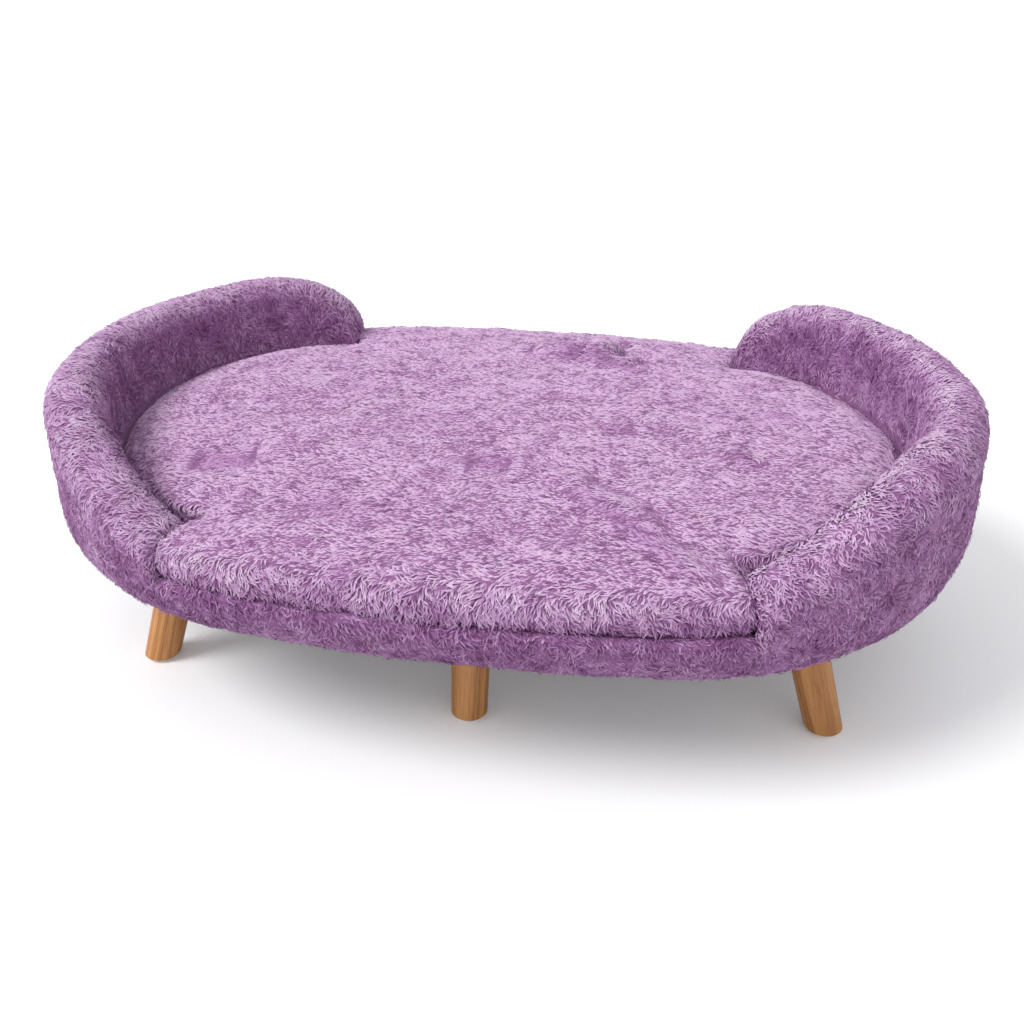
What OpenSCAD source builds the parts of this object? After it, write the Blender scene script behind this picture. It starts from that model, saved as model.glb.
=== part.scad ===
// Oval plush sofa bed for a dog: a timber base on six splayed legs, two upholstered
// arms that wrap round the ends, and a loose seat cushion with a zipped underside.
// Millimetres. The origin is on the floor under the middle of the bed, +Z is up,
// +X is to the right and the front faces -Y.

/* [Overall] */
// Length over the plush, from arm to arm
bed_l = 1000; // [880:5:1180]
// Depth over the plush, from front to back
bed_d = 682; // [600:2:780]
// How far the long front and back bow out past the round ends
side_bow = 11; // [8:0.5:16]

/* [Base frame] */
// Height of the frame's underside above the floor
frame_z = 138; // [115:1:165]
// Height of the rails
rail_h = 40; // [34:1:48]
// Width of the rim rails
rail_w = 34; // [30:1:40]
// Distance of the rim rails in from the plush outline
rail_in = 36; // [33:0.5:40]
// Width of the three cross rails, which carry the legs
cross_w = 72; // [66:1:86]
// Thickness of the plywood deck
deck_t = 12; // [9:0.5:15]
// Distance of the deck's edge in from the plush outline
deck_in = 18; // [16:0.5:21]
// Half length of the front and rear rails, up to their butt joints
joint_x = 190; // [160:1:220]

/* [Arms] */
// Height of the arms' top above the deck
arm_h = 125; // [110:1:148]
// Angle from the bed's long axis at which an arm ends
arm_end_angle = 72; // [66:0.5:74]
// Angle over which an arm's rear end rounds down to the seat
arm_rise_angle = 25; // [21:0.5:29]
// Angle over which an arm's front slopes down past the seat
front_rise_angle = 40; // [36:0.5:44]
// Height of the arms' rear ends above the deck
arm_end_h = 42; // [38:0.5:48]
// Height of the arms' front ends above the deck
front_end_h = 40; // [38:0.5:44]
// Thickness of an arm near its top
arm_w = 64; // [60:0.5:70]
// Thickness of an arm at the deck
arm_foot_w = 78; // [74:0.5:90]
// Rounding radius of the arms' top
crown_r = 28; // [24:0.5:31]
// Thickness of the bent hardboard panels
panel_t = 3; // [2.5:0.1:3.5]
// Radial width of the arm's rails, posts and blocks
stud_w = 30; // [27:0.5:32]
// Height of the arm's top and bottom rails
arm_rail_h = 18; // [15:0.5:21]
// Width of an arm post, along the arc
post_w = 40; // [33:1:47]
// Foam and cover over the top of the arm's frame
top_pad = 25; // [22:0.5:30]
// Rounding radius of the arm frame's upper rear ends
frame_end_r = 62; // [52:1:70]
// How much farther back the arm frame's front ends stay than its rear ends
frame_front_in = 32; // [26:1:38]
// Rounding of the arm frame's front ends, as a share of the frame's height
front_round_share = 0.9; // [0.85:0.01:0.95]

/* [Upholstery] */
// Thickness of the plush covers, pile pressed flat
cover_t = 3; // [2.5:0.1:3.6]
// Inward reach of the rounding along the bottom edge
under_w = 43; // [40:0.5:46]
// Height of the rounding along the bottom edge
under_h = 64; // [56:1:74]
// Distance from the outline to the raw edge of the covers under the frame
flap_in = 60; // [56:0.5:66]
// Distance from the outline to the edge of the front and rear covers on the deck
lap_in = 58; // [52:0.5:64]
// Thickness of the felt pad on the deck
pad_t = 3; // [2.5:0.1:3.6]
// Thickness of the dust cover under the frame
dust_t = 0.8; // [0.7:0.05:1]

/* [Cushion] */
// Thickness of the cushion at its rolled edge
edge_h = 40; // [35:0.5:46]
// Rise of the crown above the edge
crown_h = 17; // [14:0.5:20]
// How far the sides draw in at the bottom seam
seam_in = 9; // [7.5:0.5:10.5]
// How far the sides draw in where the top begins
roll_in = 14; // [12:0.5:17]
// Room between the cushion and the arms
cushion_gap = 2; // [1.7:0.1:2.4]
// Length of the rounding at the cushion's front and rear corners
ear_cut = 10; // [8.5:0.5:12]
// Share of the angle past an arm's end by which the cushion's step fades towards its top
ear_share = 0.75; // [0.65:0.01:0.8]
// Width of the plush turned in under the cushion
turn_in = 24; // [20:0.5:28]

/* [Zip] */
// Length of the zip
zip_l = 560; // [470:5:660]
// Distance of the zip behind the middle of the cushion
zip_y = 120; // [100:1:142]
// Width of the opening in the base cloth along the zip
zip_slot_w = 10; // [9.4:0.1:11]
// Width of the zip's tape
tape_w = 24; // [20:0.5:28]
// Thickness of the zip's tape
tape_t = 0.8; // [0.7:0.05:0.95]
// Width of one row of teeth
teeth_w = 2; // [1.7:0.1:2.3]
// Height of the teeth
teeth_h = 2; // [1.7:0.1:2.3]
// Gap between the two rows of teeth, in which the slider's post runs
teeth_gap = 1.4; // [1.2:0.05:1.6]
// Length of the slider
slider_l = 14; // [12:0.5:16.5]
// Width of the slider
slider_w = 8.8; // [7.4:0.1:9]
// Thickness of each of the slider's plates
slider_t = 1.1; // [0.95:0.05:1.2]

/* [Legs] */
// Diameter of a leg at the top
leg_top_d = 43; // [38:0.5:48]
// Diameter of a leg at the floor
leg_foot_d = 38; // [33:0.5:42]
// Outward splay of the corner legs
corner_splay_angle = 17; // [14:0.5:20]
// Direction of that splay, from the long axis
corner_heading_angle = 22; // [18:0.5:26]
// Forward or backward splay of the centre legs
centre_splay_angle = 11; // [9:0.5:13]
// Distance of the corner legs' tops in from the plush outline
leg_in = 111; // [106:1:125]
// Angle of the corner legs' tops from the long axis, round the bed's round ends
leg_angle = 44.3; // [40:0.1:49]
// Distance of the centre legs' tops in from the front or back
mid_leg_in = 157; // [145:1:175]
// Diameter of the glide under a leg
glide_d = 29; // [25:0.5:31]
// Height of the glide
glide_h = 3; // [2.5:0.1:3.6]
// Rounding of a leg's lower edge
foot_r = 3; // [2.5:0.1:3.6]

/* [Hardware] */
// Side of a leg plate
plate_w = 58; // [52:0.5:64]
// Thickness of a leg plate
plate_t = 2.5; // [2.1:0.1:3]
// Corner radius of a leg plate
plate_r = 6; // [5:0.5:7]
// Distance of a plate's screws from its middle, each way
plate_hole = 21.5; // [20.5:0.1:22.5]
// Diameter of the threaded boss of a leg plate
boss_d = 14; // [12:0.5:16]
// Height of the threaded boss
boss_h = 8; // [7:0.5:9.5]
// Diameter of a hanger bolt
bolt_d = 8; // [7:0.5:9]
// Reach of a hanger bolt into the leg
bolt_down = 32; // [27:1:38]
// Reach of a hanger bolt above the frame's underside
bolt_up = 12; // [10.5:0.5:14]
// Diameter of the wood screws
screw_d = 3.6; // [3.1:0.1:4.2]
// Head diameter of the wood screws
screw_head_d = 7.6; // [7:0.1:8.4]
// Head height of the wood screws
screw_head_h = 2; // [1.7:0.1:2.1]
// Length of the leg plates' screws
plate_screw_l = 18; // [15:0.5:21]
// Length of the deck's screws
deck_screw_l = 36; // [31:0.5:42]
// Diameter of the coach screws that hold the arms
coach_d = 6; // [5:0.5:7]
// Head of the coach screws, across its corners
coach_head_d = 11.5; // [10.5:0.5:12.5]
// Head height of the coach screws
coach_head_h = 4; // [3.5:0.1:4.6]
// Distance of the coach screws in from the outline
coach_in = 43.5; // [42.5:0.1:44]
// Angle of the outer coach screws from the long axis
coach_angle = 50; // [42:1:56]
// Diameter of the coach screws' washers
washer_d = 13.5; // [13:0.1:14.2]
// Thickness of the washers
washer_t = 1.2; // [1:0.1:1.4]

/* [Hidden] */

// Smoothness of true rounds and of large arcs
$fn = 48;
arc_fn = 180;
// Clearance between pieces that rest against each other
fit = 0.4;
// Clearance of a fastener in its hole, on the diameter
hole_fit = 0.6;
// Extra length of every cut
over = 1;

// Plan outline: two round ends joined by long flat arcs, all tangent
half_l = bed_l / 2;
half_d = bed_d / 2;
end_r = half_d - side_bow;
end_x = half_l - end_r;
side_r = (end_x * end_x + half_d * half_d - end_r * end_r) / (2 * side_bow);
side_y = side_r - half_d;
join_angle = atan2(end_x, side_y);
join_lap = fit / 8;

// Distance from a cover's outside to the foam of an arm or of the cushion under it
foam_in = cover_t + 2 * fit;

// Heights
rail_top = frame_z + rail_h;
deck_top = rail_top + deck_t;
arm_top = deck_top + arm_h;
arm_low = deck_top + arm_end_h;
front_low = deck_top + front_end_h;
cover_z = frame_z - fit - cover_t;
band_top = deck_top + fit + cover_t;
pad_z = deck_top + fit;
cushion_z = pad_z + pad_t + fit;
edge_z = cushion_z + edge_h;
plate_z = frame_z - plate_t;

// Arm frame, as distances in from the outline
outer_in = deck_in;
stud_in = outer_in + panel_t;
inner_in = stud_in + stud_w;
frame_in = inner_in + panel_t;
frame_top = arm_top - top_pad;
frame_end_angle = arm_end_angle - arc_a(2 * cover_t + 3 * fit + top_pad / 3, end_r - frame_in);
frame_front_angle = frame_end_angle - arc_a(frame_front_in, end_r - frame_in);
frame_front_r = front_round_share * (arm_h - top_pad);
post_step_angle = 19;
post_count = 5;
rail_angle = (post_count - 1) / 2 * post_step_angle + arc_a(post_w / 2, end_r - stud_in);

// Distance in from the cushion's edge at which its plan is a plain oval again
notch_fade = 0.6 * half_d;

// Zip, closed and lying on the inside of the base cloth, with its slider at the left end
tape_z = cushion_z + cover_t + fit / 4;
teeth_z = tape_z + tape_t / 2 - teeth_h / 2;
slider_gap = fit;
slider_z = teeth_z - slider_gap - slider_t;
slider_h = teeth_h + 2 * (slider_gap + slider_t);
groove_h = slider_z + slider_h + slider_gap;
stop_l = teeth_w;
tape_end = slider_l / 2;

// Each leg's place along X and Y, its splay and the heading of that splay
leg_x = end_x + (end_r - leg_in) * cos(leg_angle);
leg_y = (end_r - leg_in) * sin(leg_angle);
centre_y = half_d - mid_leg_in;
LEGS = [
    [-leg_x, -leg_y, corner_splay_angle, 180 + corner_heading_angle],
    [0, -centre_y, centre_splay_angle, 270],
    [leg_x, -leg_y, corner_splay_angle, -corner_heading_angle],
    [-leg_x, leg_y, corner_splay_angle, 180 - corner_heading_angle],
    [0, centre_y, centre_splay_angle, 90],
    [leg_x, leg_y, corner_splay_angle, corner_heading_angle]
];

// Screws through the deck: two over each cross rail and four over the long rails
deck_screw_y = leg_y / 2;
deck_screw_x = joint_x / 2;
deck_screw_in = rail_in + rail_w / 2;
DECK_SCREWS = [
    for (x = [-leg_x, 0, leg_x], s = [-1, 1]) [x, s * deck_screw_y],
    for (x = [-deck_screw_x, deck_screw_x], s = [-1, 1]) [x, s * side_at(x, deck_screw_in)]
];
COACH_ANGLES = [-coach_angle, 0, coach_angle];

plush = "#b384c4";
foam = "#efe3b8";
timber = "#d9b98a";
ply = "#cfa873";
hardboard = "#8a6543";
leg_wood = "#b9793a";
steel = "#b8bcc2";
nylon = "#f2f0ea";
cloth = "#4a4550";
felt = "#6f6a78";

// Angle that a length takes up on an arc
function arc_a(length, radius) = length / radius * 180 / PI;

// Half depth of the outline, set in by a distance, at a place along the long sides
function side_at(x, in) = sqrt((side_r - in) * (side_r - in) - x * x) - side_y;

// How far an arm's end has come down at an angle from the long axis, from 0 to 1
function fall(a, rise) = max(0, min(1, (abs(a) - arm_end_angle + rise) / rise));

// Height of an arm's plush top: its front slopes down and its rear rounds down
function arm_curve(a) = a < 0
    ? front_low + (arm_top - front_low) * (1 - pow(fall(a, front_rise_angle), 1.5))
    : arm_low + (arm_top - arm_low) * sqrt(1 - pow(fall(a, arm_rise_angle), 2));

// Stations along an arm from its front, closer together where its ends come down
front_flat = 4;
rear_flat = 6;
front_ramp = 6;
rear_ramp = 4;
front_level_angle = arm_end_angle - front_rise_angle;
level_angle = arm_end_angle - arm_rise_angle;
ARM_STATIONS = concat(
    [for (i = [0:front_ramp - 1]) front_rise_angle * pow(i / front_ramp, 1.2) - arm_end_angle],
    [for (i = [front_flat:-1:1]) -front_level_angle * i / front_flat],
    [for (i = [0:rear_flat]) level_angle * i / rear_flat],
    [for (i = [rear_ramp - 1:-1:0]) arm_end_angle - arm_rise_angle * pow(i / rear_ramp, 1.5)]
);

// The widest step between two stations
arm_step = max([for (i = [1:len(ARM_STATIONS) - 1]) ARM_STATIONS[i] - ARM_STATIONS[i - 1]]);

// Tops of all of an arm's layers: true at the stations and straight between them, so that
// the layers under the cover never cross it
ARM_TOPS = [for (a = ARM_STATIONS) [a, arm_curve(a)]];
function arm_top_at(a) = lookup(a, ARM_TOPS);

// The stations of a layer whose ends are set in by d
function arm_angles(d) =
    let (last = arm_end_angle - arc_a(d, end_r))
    [for (a = ARM_STATIONS) max(-last, min(last, a))];

// A point at a distance in from the outline, on a station of centre, radius and angle
function place(st, in, z) = [
    st[0] + (st[2] - in) * cos(st[3]),
    st[1] + (st[2] - in) * sin(st[3]),
    z
];

// The rounding along the bottom edge, set in by d, from one angle up to another
function under_edge(d, from_a, to_a, steps) = [
    for (i = [0:steps])
        let (t = from_a + (to_a - from_a) * i / steps)
        [under_w - (under_w - d) * cos(t), cover_z + under_h + (under_h - d) * sin(t)]
];

// The foam's lower edge: the cover's inner line moved in by the clearance, from where it
// meets the face of the rim rail
function foam_edge(line, clear) =
    let (edge = [for (p = line) [p[0] + fit, p[1] + fit]])
    let (face = rail_in - clear)
    let (share = (edge[0][0] - face) / (edge[0][0] - edge[1][0]))
    concat(
        [[face, edge[0][1] + (edge[1][1] - edge[0][1]) * share]],
        [for (i = [1:len(edge) - 1]) edge[i]]
    );

// Angle at which the bands' top meets the rounding
function band_meet_a(d) = min(0, asin(max(-1, (band_top - d - cover_z - under_h) / (under_h - d))));

// An arm's rounded top, set in by d, from the outside over to the inside. Its rounding
// ends above the rounding along the bottom edge
function crown(top, d, steps) =
    let (r = min(crown_r, top - cover_z - under_h - fit))
    concat(
        [for (i = [0:steps])
            let (t = 90 * i / steps)
            [r - (r - d) * cos(t), top - r + (r - d) * sin(t)]],
        [for (i = [0:steps])
            let (t = 90 * i / steps)
            [arm_w - r + (r - d) * sin(t), top - r + (r - d) * cos(t)]]
    );

// Steps down from the deck's top, past its edge, to the face of the rim rail
function frame_steps(clear) = [
    [deck_in - clear, deck_top + fit],
    [deck_in - clear, rail_top - fit],
    [rail_in - clear, rail_top - fit]
];

// The covers' free edge, turned in under the frame
UNDER_FLAP = [[flap_in, frame_z - fit], [flap_in, cover_z]];

// Sections are lists of distance in from the outline and height. A cover is its outer
// section less its inner one, and the foam's section stops at the frame
function arm_outer(top, clear, steps) = concat(
    UNDER_FLAP,
    under_edge(0, -90, 0, steps),
    crown(top, 0, steps),
    [[arm_foot_w, deck_top + fit]],
    frame_steps(clear),
    [[rail_in - clear, frame_z - fit]]
);

function arm_inner(top, steps) = concat(
    under_edge(cover_t, -90, 0, steps),
    crown(top, cover_t, steps),
    [[arm_foot_w - cover_t, deck_top + fit - over], [under_w, deck_top + fit - over]]
);

function arm_core(top, clear, steps) = concat(
    foam_edge(under_edge(cover_t, -90, 0, steps), clear),
    crown(top, foam_in, steps),
    [[arm_foot_w - foam_in, deck_top + fit]],
    frame_steps(clear)
);

function band_outer(clear, steps) =
    let (edge = under_edge(0, -90, band_meet_a(0), steps))
    concat(
        UNDER_FLAP,
        edge,
        [[edge[steps][0], band_top], [lap_in, band_top], [lap_in, deck_top + fit]],
        frame_steps(clear),
        [[rail_in - clear, frame_z - fit]]
    );

function band_inner(steps) =
    let (edge = under_edge(cover_t, -90, band_meet_a(cover_t), steps))
    concat(edge, [[edge[steps][0], band_top - cover_t], [under_w, band_top - cover_t]]);

function band_core(clear, steps) =
    let (edge = foam_edge(under_edge(cover_t, -90, band_meet_a(cover_t), steps), clear))
    concat(
        [for (i = [0:steps - 1]) edge[i]],
        [[edge[steps][0], deck_top], [deck_in - clear, deck_top]],
        [for (i = [1:2]) frame_steps(clear)[i]]
    );

// Joins a list of sections, each a list of points, into one closed skin of triangles
function skin_faces(rings, count) = concat(
    [for (k = [0:rings - 2], i = [0:count - 1])
        let (j = (i + 1) % count)
        [k * count + i, k * count + j, (k + 1) * count + i]],
    [for (k = [0:rings - 2], i = [0:count - 1])
        let (j = (i + 1) % count)
        [k * count + j, (k + 1) * count + j, (k + 1) * count + i]]
);

module skin(sections) {
    rings = len(sections);
    count = len(sections[0]);
    first = [for (i = [count - 1:-1:0]) i];
    last = [for (i = [0:count - 1]) (rings - 1) * count + i];
    points = [for (section = sections) each section];
    polyhedron(points, concat(skin_faces(rings, count), [first], [last]), convexity = 6);
}

// What the straight steps between stations cut off an arc, added to a clearance
function clear_of(step_a) = fit + end_r * (1 - cos(step_a / 2));

arm_clear = clear_of(arm_step);
band_steps = 8;
band_clear = clear_of(arm_end_angle / band_steps);

function arm_station(section, a) = [for (p = section) place([end_x, 0, end_r, a], p[0], p[1])];

// Stations along the front, from the left arm's end to the right arm's end, set in by d
function band_stations(d) =
    let (first = arm_end_angle + arc_a(fit + d, end_r))
    let (last = 90 - join_angle)
    concat(
        [for (i = [0:1]) [-end_x, 0, end_r, 180 + first + (last - first) * i / 2]],
        [for (i = [0:band_steps]) [0, side_y, side_r, 270 - join_angle + 2 * join_angle * i / band_steps]],
        [for (i = [1:-1:0]) [end_x, 0, end_r, -first - (last - first) * i / 2]]
    );

function band_sweep(section, d) = [
    for (st = band_stations(d)) [for (p = section) place(st, p[0], p[1])]
];

// Plan outline set in by a distance. The long arcs lie a hair further in than the round
// ends, so that the two cross instead of running along each other
module oval(in) {
    join_x = end_x + (end_r - in) * sin(join_angle);
    long_r = side_r - in - join_lap;
    for (s = [-1, 1])
        translate([s * end_x, 0])
            circle(r = end_r - in, $fn = arc_fn);
    intersection() {
        translate([0, side_y])
            circle(r = long_r, $fn = 4 * arc_fn);
        translate([0, -side_y])
            circle(r = long_r, $fn = 4 * arc_fn);
        square([2 * join_x, bed_d], center = true);
    }
}

// Board in the shape of the plan outline
module board(in, z, t) {
    translate([0, 0, z])
        linear_extrude(t)
            oval(in);
}

// Part of the right arm's ring between two distances in, two heights and two angles
module arm_sector(in_a, in_b, z, h, a, b) {
    translate([end_x, 0, z])
        rotate([0, 0, a])
            rotate_extrude(angle = b - a, $fn = arc_fn)
                translate([end_r - in_b, 0])
                    square([in_b - in_a, h]);
}

// Side view of the arm's frame, drawn along the long axis: its front comes down in a large
// rounding and its rear in a small one
module arm_side_view(grow) {
    front = (end_r - frame_in) * sin(frame_front_angle) + grow;
    rear = (end_r - frame_in) * sin(frame_end_angle) + grow;
    h = frame_top - deck_top + grow;
    front_r = frame_front_r + grow;
    rear_r = frame_end_r + grow;
    translate([0, 0, deck_top])
        rotate([90, 0, 90])
            linear_extrude(bed_l) {
                translate([-front, 0])
                    square([front, h - front_r]);
                square([rear, h - rear_r]);
                translate([front_r - front, 0])
                    square([front - front_r + rear - rear_r, h]);
                translate([front_r - front, h - front_r])
                    circle(r = front_r);
                translate([rear - rear_r, h - rear_r])
                    circle(r = rear_r);
            }
}

module arm_frame_void(clear) {
    intersection() {
        arm_sector(outer_in - clear, frame_in + clear, deck_top, arm_h, -arm_end_angle, arm_end_angle);
        arm_side_view(clear);
    }
}

module hole(x, y, z, h, d) {
    translate([x, y, z])
        cylinder(h = h, d = d);
}

// Runs its children at each coach screw of the right arm
module at_coach_screws() {
    for (a = COACH_ANGLES)
        translate([end_x + (end_r - coach_in) * cos(a), (end_r - coach_in) * sin(a), 0])
            children();
}

coach_seat_z = frame_z + coach_head_h + washer_t + 2 * fit;
coach_tip_z = deck_top + arm_rail_h - 2 * washer_t;

module coach_hole() {
    cylinder(h = coach_tip_z + fit, d = coach_d + hole_fit);
    cylinder(h = coach_seat_z, d = washer_d + hole_fit);
}

module deck_screw_holes() {
    for (p = DECK_SCREWS)
        hole(p[0], p[1], deck_top - deck_screw_l - fit, deck_screw_l + over, screw_d + hole_fit);
}

// Relief for the leg plates' bosses and pilot holes for their screws
module leg_plate_holes() {
    for (leg = LEGS)
        translate([leg[0], leg[1], frame_z])
            rotate([0, 0, leg[3]]) {
                translate([0, 0, -over])
                    cylinder(h = bolt_up + fit + over, d = boss_d + hole_fit);
                at_plate_screws()
                    translate([0, 0, -over])
                        cylinder(h = plate_screw_l + over, d = screw_d + hole_fit);
            }
}

module at_plate_screws() {
    for (x = [-plate_hole, plate_hole], y = [-plate_hole, plate_hole])
        translate([x, y, 0])
            children();
}

module rim_rail() {
    difference() {
        board(rail_in, frame_z, rail_h);
        board(rail_in + rail_w, frame_z - over, rail_h + 2 * over);
    }
}

module long_rail() {
    difference() {
        intersection() {
            rim_rail();
            translate([-joint_x, -bed_d, 0])
                cube([2 * joint_x, bed_d, rail_top]);
        }
        deck_screw_holes();
    }
}

module base_front_rail() {
    color(timber)
        long_rail();
}

module base_rear_rail() {
    color(timber)
        mirror([0, 1, 0])
            long_rail();
}

module end_rail() {
    difference() {
        intersection() {
            rim_rail();
            translate([joint_x, -half_d, 0])
                cube([half_l, bed_d, rail_top]);
        }
        at_coach_screws()
            coach_hole();
    }
}

module base_left_rail() {
    color(timber)
        mirror([1, 0, 0])
            end_rail();
}

module base_right_rail() {
    color(timber)
        end_rail();
}

module cross_rails() {
    color(timber)
        difference() {
            intersection() {
                board(rail_in + rail_w + fit, frame_z, rail_h);
                for (x = [-leg_x, 0, leg_x])
                    translate([x - cross_w / 2, -half_d, frame_z])
                        cube([cross_w, bed_d, rail_h]);
            }
            leg_plate_holes();
            deck_screw_holes();
        }
}

module seat_deck() {
    color(ply)
        difference() {
            board(deck_in, rail_top, deck_t);
            deck_screw_holes();
            for (p = DECK_SCREWS)
                translate([p[0], p[1], deck_top - screw_head_h - fit])
                    screw_sink();
            for (s = [0, 1])
                mirror([s, 0, 0])
                    at_coach_screws()
                        coach_hole();
        }
}

// Countersink that opens upwards, a little wider than the head
module screw_sink() {
    cylinder(h = screw_head_h + fit, d1 = screw_d + hole_fit, d2 = screw_head_d + hole_fit);
    translate([0, 0, screw_head_h + fit])
        cylinder(h = over, d = screw_head_d + hole_fit);
}

// Countersunk wood screw with its head's face at the origin, pointing down
module wood_screw(l) {
    tip_h = screw_d;
    translate([0, 0, -screw_head_h])
        cylinder(h = screw_head_h, d1 = screw_d, d2 = screw_head_d);
    translate([0, 0, tip_h - l])
        cylinder(h = l - tip_h - screw_head_h, d = screw_d);
    translate([0, 0, -l])
        cylinder(h = tip_h, d1 = screw_d / 4, d2 = screw_d);
}

module deck_screws() {
    color(steel)
        for (p = DECK_SCREWS)
            translate([p[0], p[1], deck_top])
                wood_screw(deck_screw_l);
}

// Inside the arms the pad keeps clear of their feet, and between them of the bands' laps
module deck_pad() {
    half = end_x + (end_r - arm_foot_w) * cos(arm_end_angle) - fit;
    color(felt)
        translate([0, 0, pad_z])
            linear_extrude(pad_t) {
                oval(arm_foot_w + arm_clear);
                intersection() {
                    oval(lap_in + band_clear);
                    square([2 * half, bed_d], center = true);
                }
            }
}

module dust_cover() {
    hole_w = plate_w + 2 * fit;
    color(cloth)
        difference() {
            board(flap_in + arm_clear, frame_z - fit - dust_t, dust_t);
            for (leg = LEGS)
                translate([leg[0], leg[1], cover_z])
                    rotate([0, 0, leg[3]])
                        translate([-hole_w / 2, -hole_w / 2, 0])
                            cube([hole_w, hole_w, 2 * cover_t]);
        }
}

module arm_bottom_rail() {
    difference() {
        intersection() {
            arm_side_view(0);
            arm_sector(stud_in, inner_in, deck_top, arm_rail_h, -frame_front_angle, frame_end_angle);
        }
        at_coach_screws()
            coach_hole();
    }
}

module arm_top_rail() {
    intersection() {
        arm_side_view(0);
        arm_sector(stud_in, inner_in, frame_top - arm_rail_h, arm_rail_h, -rail_angle, rail_angle);
    }
}

module arm_posts() {
    half_a = arc_a(post_w / 2, end_r - stud_in);
    z = deck_top + arm_rail_h;
    for (i = [0:post_count - 1]) {
        a = (i - (post_count - 1) / 2) * post_step_angle;
        arm_sector(stud_in, inner_in, z, frame_top - arm_rail_h - z, a - half_a, a + half_a);
    }
}

// Sawn blocks that give the arm's ends their round fall
module arm_end_blocks() {
    z = deck_top + arm_rail_h;
    intersection() {
        arm_side_view(0);
        union() {
            arm_sector(stud_in, inner_in, z, arm_h, -frame_front_angle, -rail_angle);
            arm_sector(stud_in, inner_in, z, arm_h, rail_angle, frame_end_angle);
        }
    }
}

module arm_panel(in) {
    intersection() {
        arm_side_view(0);
        arm_sector(in, in + panel_t, deck_top, arm_h, -frame_front_angle, frame_end_angle);
    }
}

module arm_foam() {
    difference() {
        skin([
            for (a = arm_angles(cover_t + fit))
                arm_station(arm_core(arm_top_at(a), arm_clear, 3), a)
        ]);
        arm_frame_void(fit);
    }
}

module arm_cover() {
    difference() {
        skin([
            for (a = arm_angles(0))
                arm_station(arm_outer(arm_top_at(a), arm_clear, 4), a)
        ]);
        skin([
            for (a = arm_angles(cover_t))
                arm_station(arm_inner(arm_top_at(a), 3), a)
        ]);
    }
}

module left_arm_bottom_rail() {
    color(timber)
        mirror([1, 0, 0])
            arm_bottom_rail();
}

module left_arm_top_rail() {
    color(timber)
        mirror([1, 0, 0])
            arm_top_rail();
}

module left_arm_posts() {
    color(timber)
        mirror([1, 0, 0])
            arm_posts();
}

module left_arm_end_blocks() {
    color(timber)
        mirror([1, 0, 0])
            arm_end_blocks();
}

module left_arm_inner_panel() {
    color(hardboard)
        mirror([1, 0, 0])
            arm_panel(inner_in);
}

module left_arm_outer_panel() {
    color(hardboard)
        mirror([1, 0, 0])
            arm_panel(outer_in);
}

module left_arm_foam() {
    color(foam)
        mirror([1, 0, 0])
            arm_foam();
}

module left_arm_cover() {
    color(plush)
        mirror([1, 0, 0])
            arm_cover();
}

module right_arm_bottom_rail() {
    color(timber)
        arm_bottom_rail();
}

module right_arm_top_rail() {
    color(timber)
        arm_top_rail();
}

module right_arm_posts() {
    color(timber)
        arm_posts();
}

module right_arm_end_blocks() {
    color(timber)
        arm_end_blocks();
}

module right_arm_inner_panel() {
    color(hardboard)
        arm_panel(inner_in);
}

module right_arm_outer_panel() {
    color(hardboard)
        arm_panel(outer_in);
}

module right_arm_foam() {
    color(foam)
        arm_foam();
}

module right_arm_cover() {
    color(plush)
        arm_cover();
}

// Coach screw pointing up, with its head's upper face at the origin
module coach_screw() {
    translate([0, 0, -coach_head_h])
        cylinder(h = coach_head_h, d = coach_head_d, $fn = 6);
    cylinder(h = coach_tip_z - coach_seat_z + washer_t - coach_d, d = coach_d);
    translate([0, 0, coach_tip_z - coach_seat_z + washer_t - coach_d])
        cylinder(h = coach_d, d1 = coach_d, d2 = coach_d / 4);
}

module arm_screws() {
    color(steel)
        for (s = [0, 1])
            mirror([s, 0, 0])
                at_coach_screws()
                    translate([0, 0, coach_seat_z - washer_t])
                        coach_screw();
}

module arm_washers() {
    color(steel)
        for (s = [0, 1])
            mirror([s, 0, 0])
                at_coach_screws()
                    translate([0, 0, coach_seat_z - washer_t])
                        difference() {
                            cylinder(h = washer_t, d = washer_d);
                            translate([0, 0, -over])
                                cylinder(h = washer_t + 2 * over, d = coach_d + hole_fit / 2);
                        }
}

module band_foam() {
    skin(band_sweep(band_core(band_clear, 4), cover_t + fit));
}

module band_cover() {
    difference() {
        skin(band_sweep(band_outer(band_clear, 5), 0));
        skin(band_sweep(band_inner(4), cover_t));
    }
}

module front_band_foam() {
    color(foam)
        band_foam();
}

module front_band_cover() {
    color(plush)
        band_cover();
}

module rear_band_foam() {
    color(foam)
        mirror([0, 1, 0])
            band_foam();
}

module rear_band_cover() {
    color(plush)
        mirror([0, 1, 0])
            band_cover();
}

// How much the cushion narrows between the arms: by their feet at its edge, and less and
// less towards the top of its crown
function notch_w(e) = arm_foot_w * (1 - pow(min(1, e / notch_fade), 2));

// Angle at which its ears begin, a gap past the arms' ends and farther on towards the top
function ear_angle(e) =
    arm_end_angle + arc_a(cushion_gap, end_r - arm_foot_w)
    + ear_share * (90 - join_angle - arm_end_angle) * (1 - pow(1 - min(1, e / notch_fade), 2));

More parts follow.
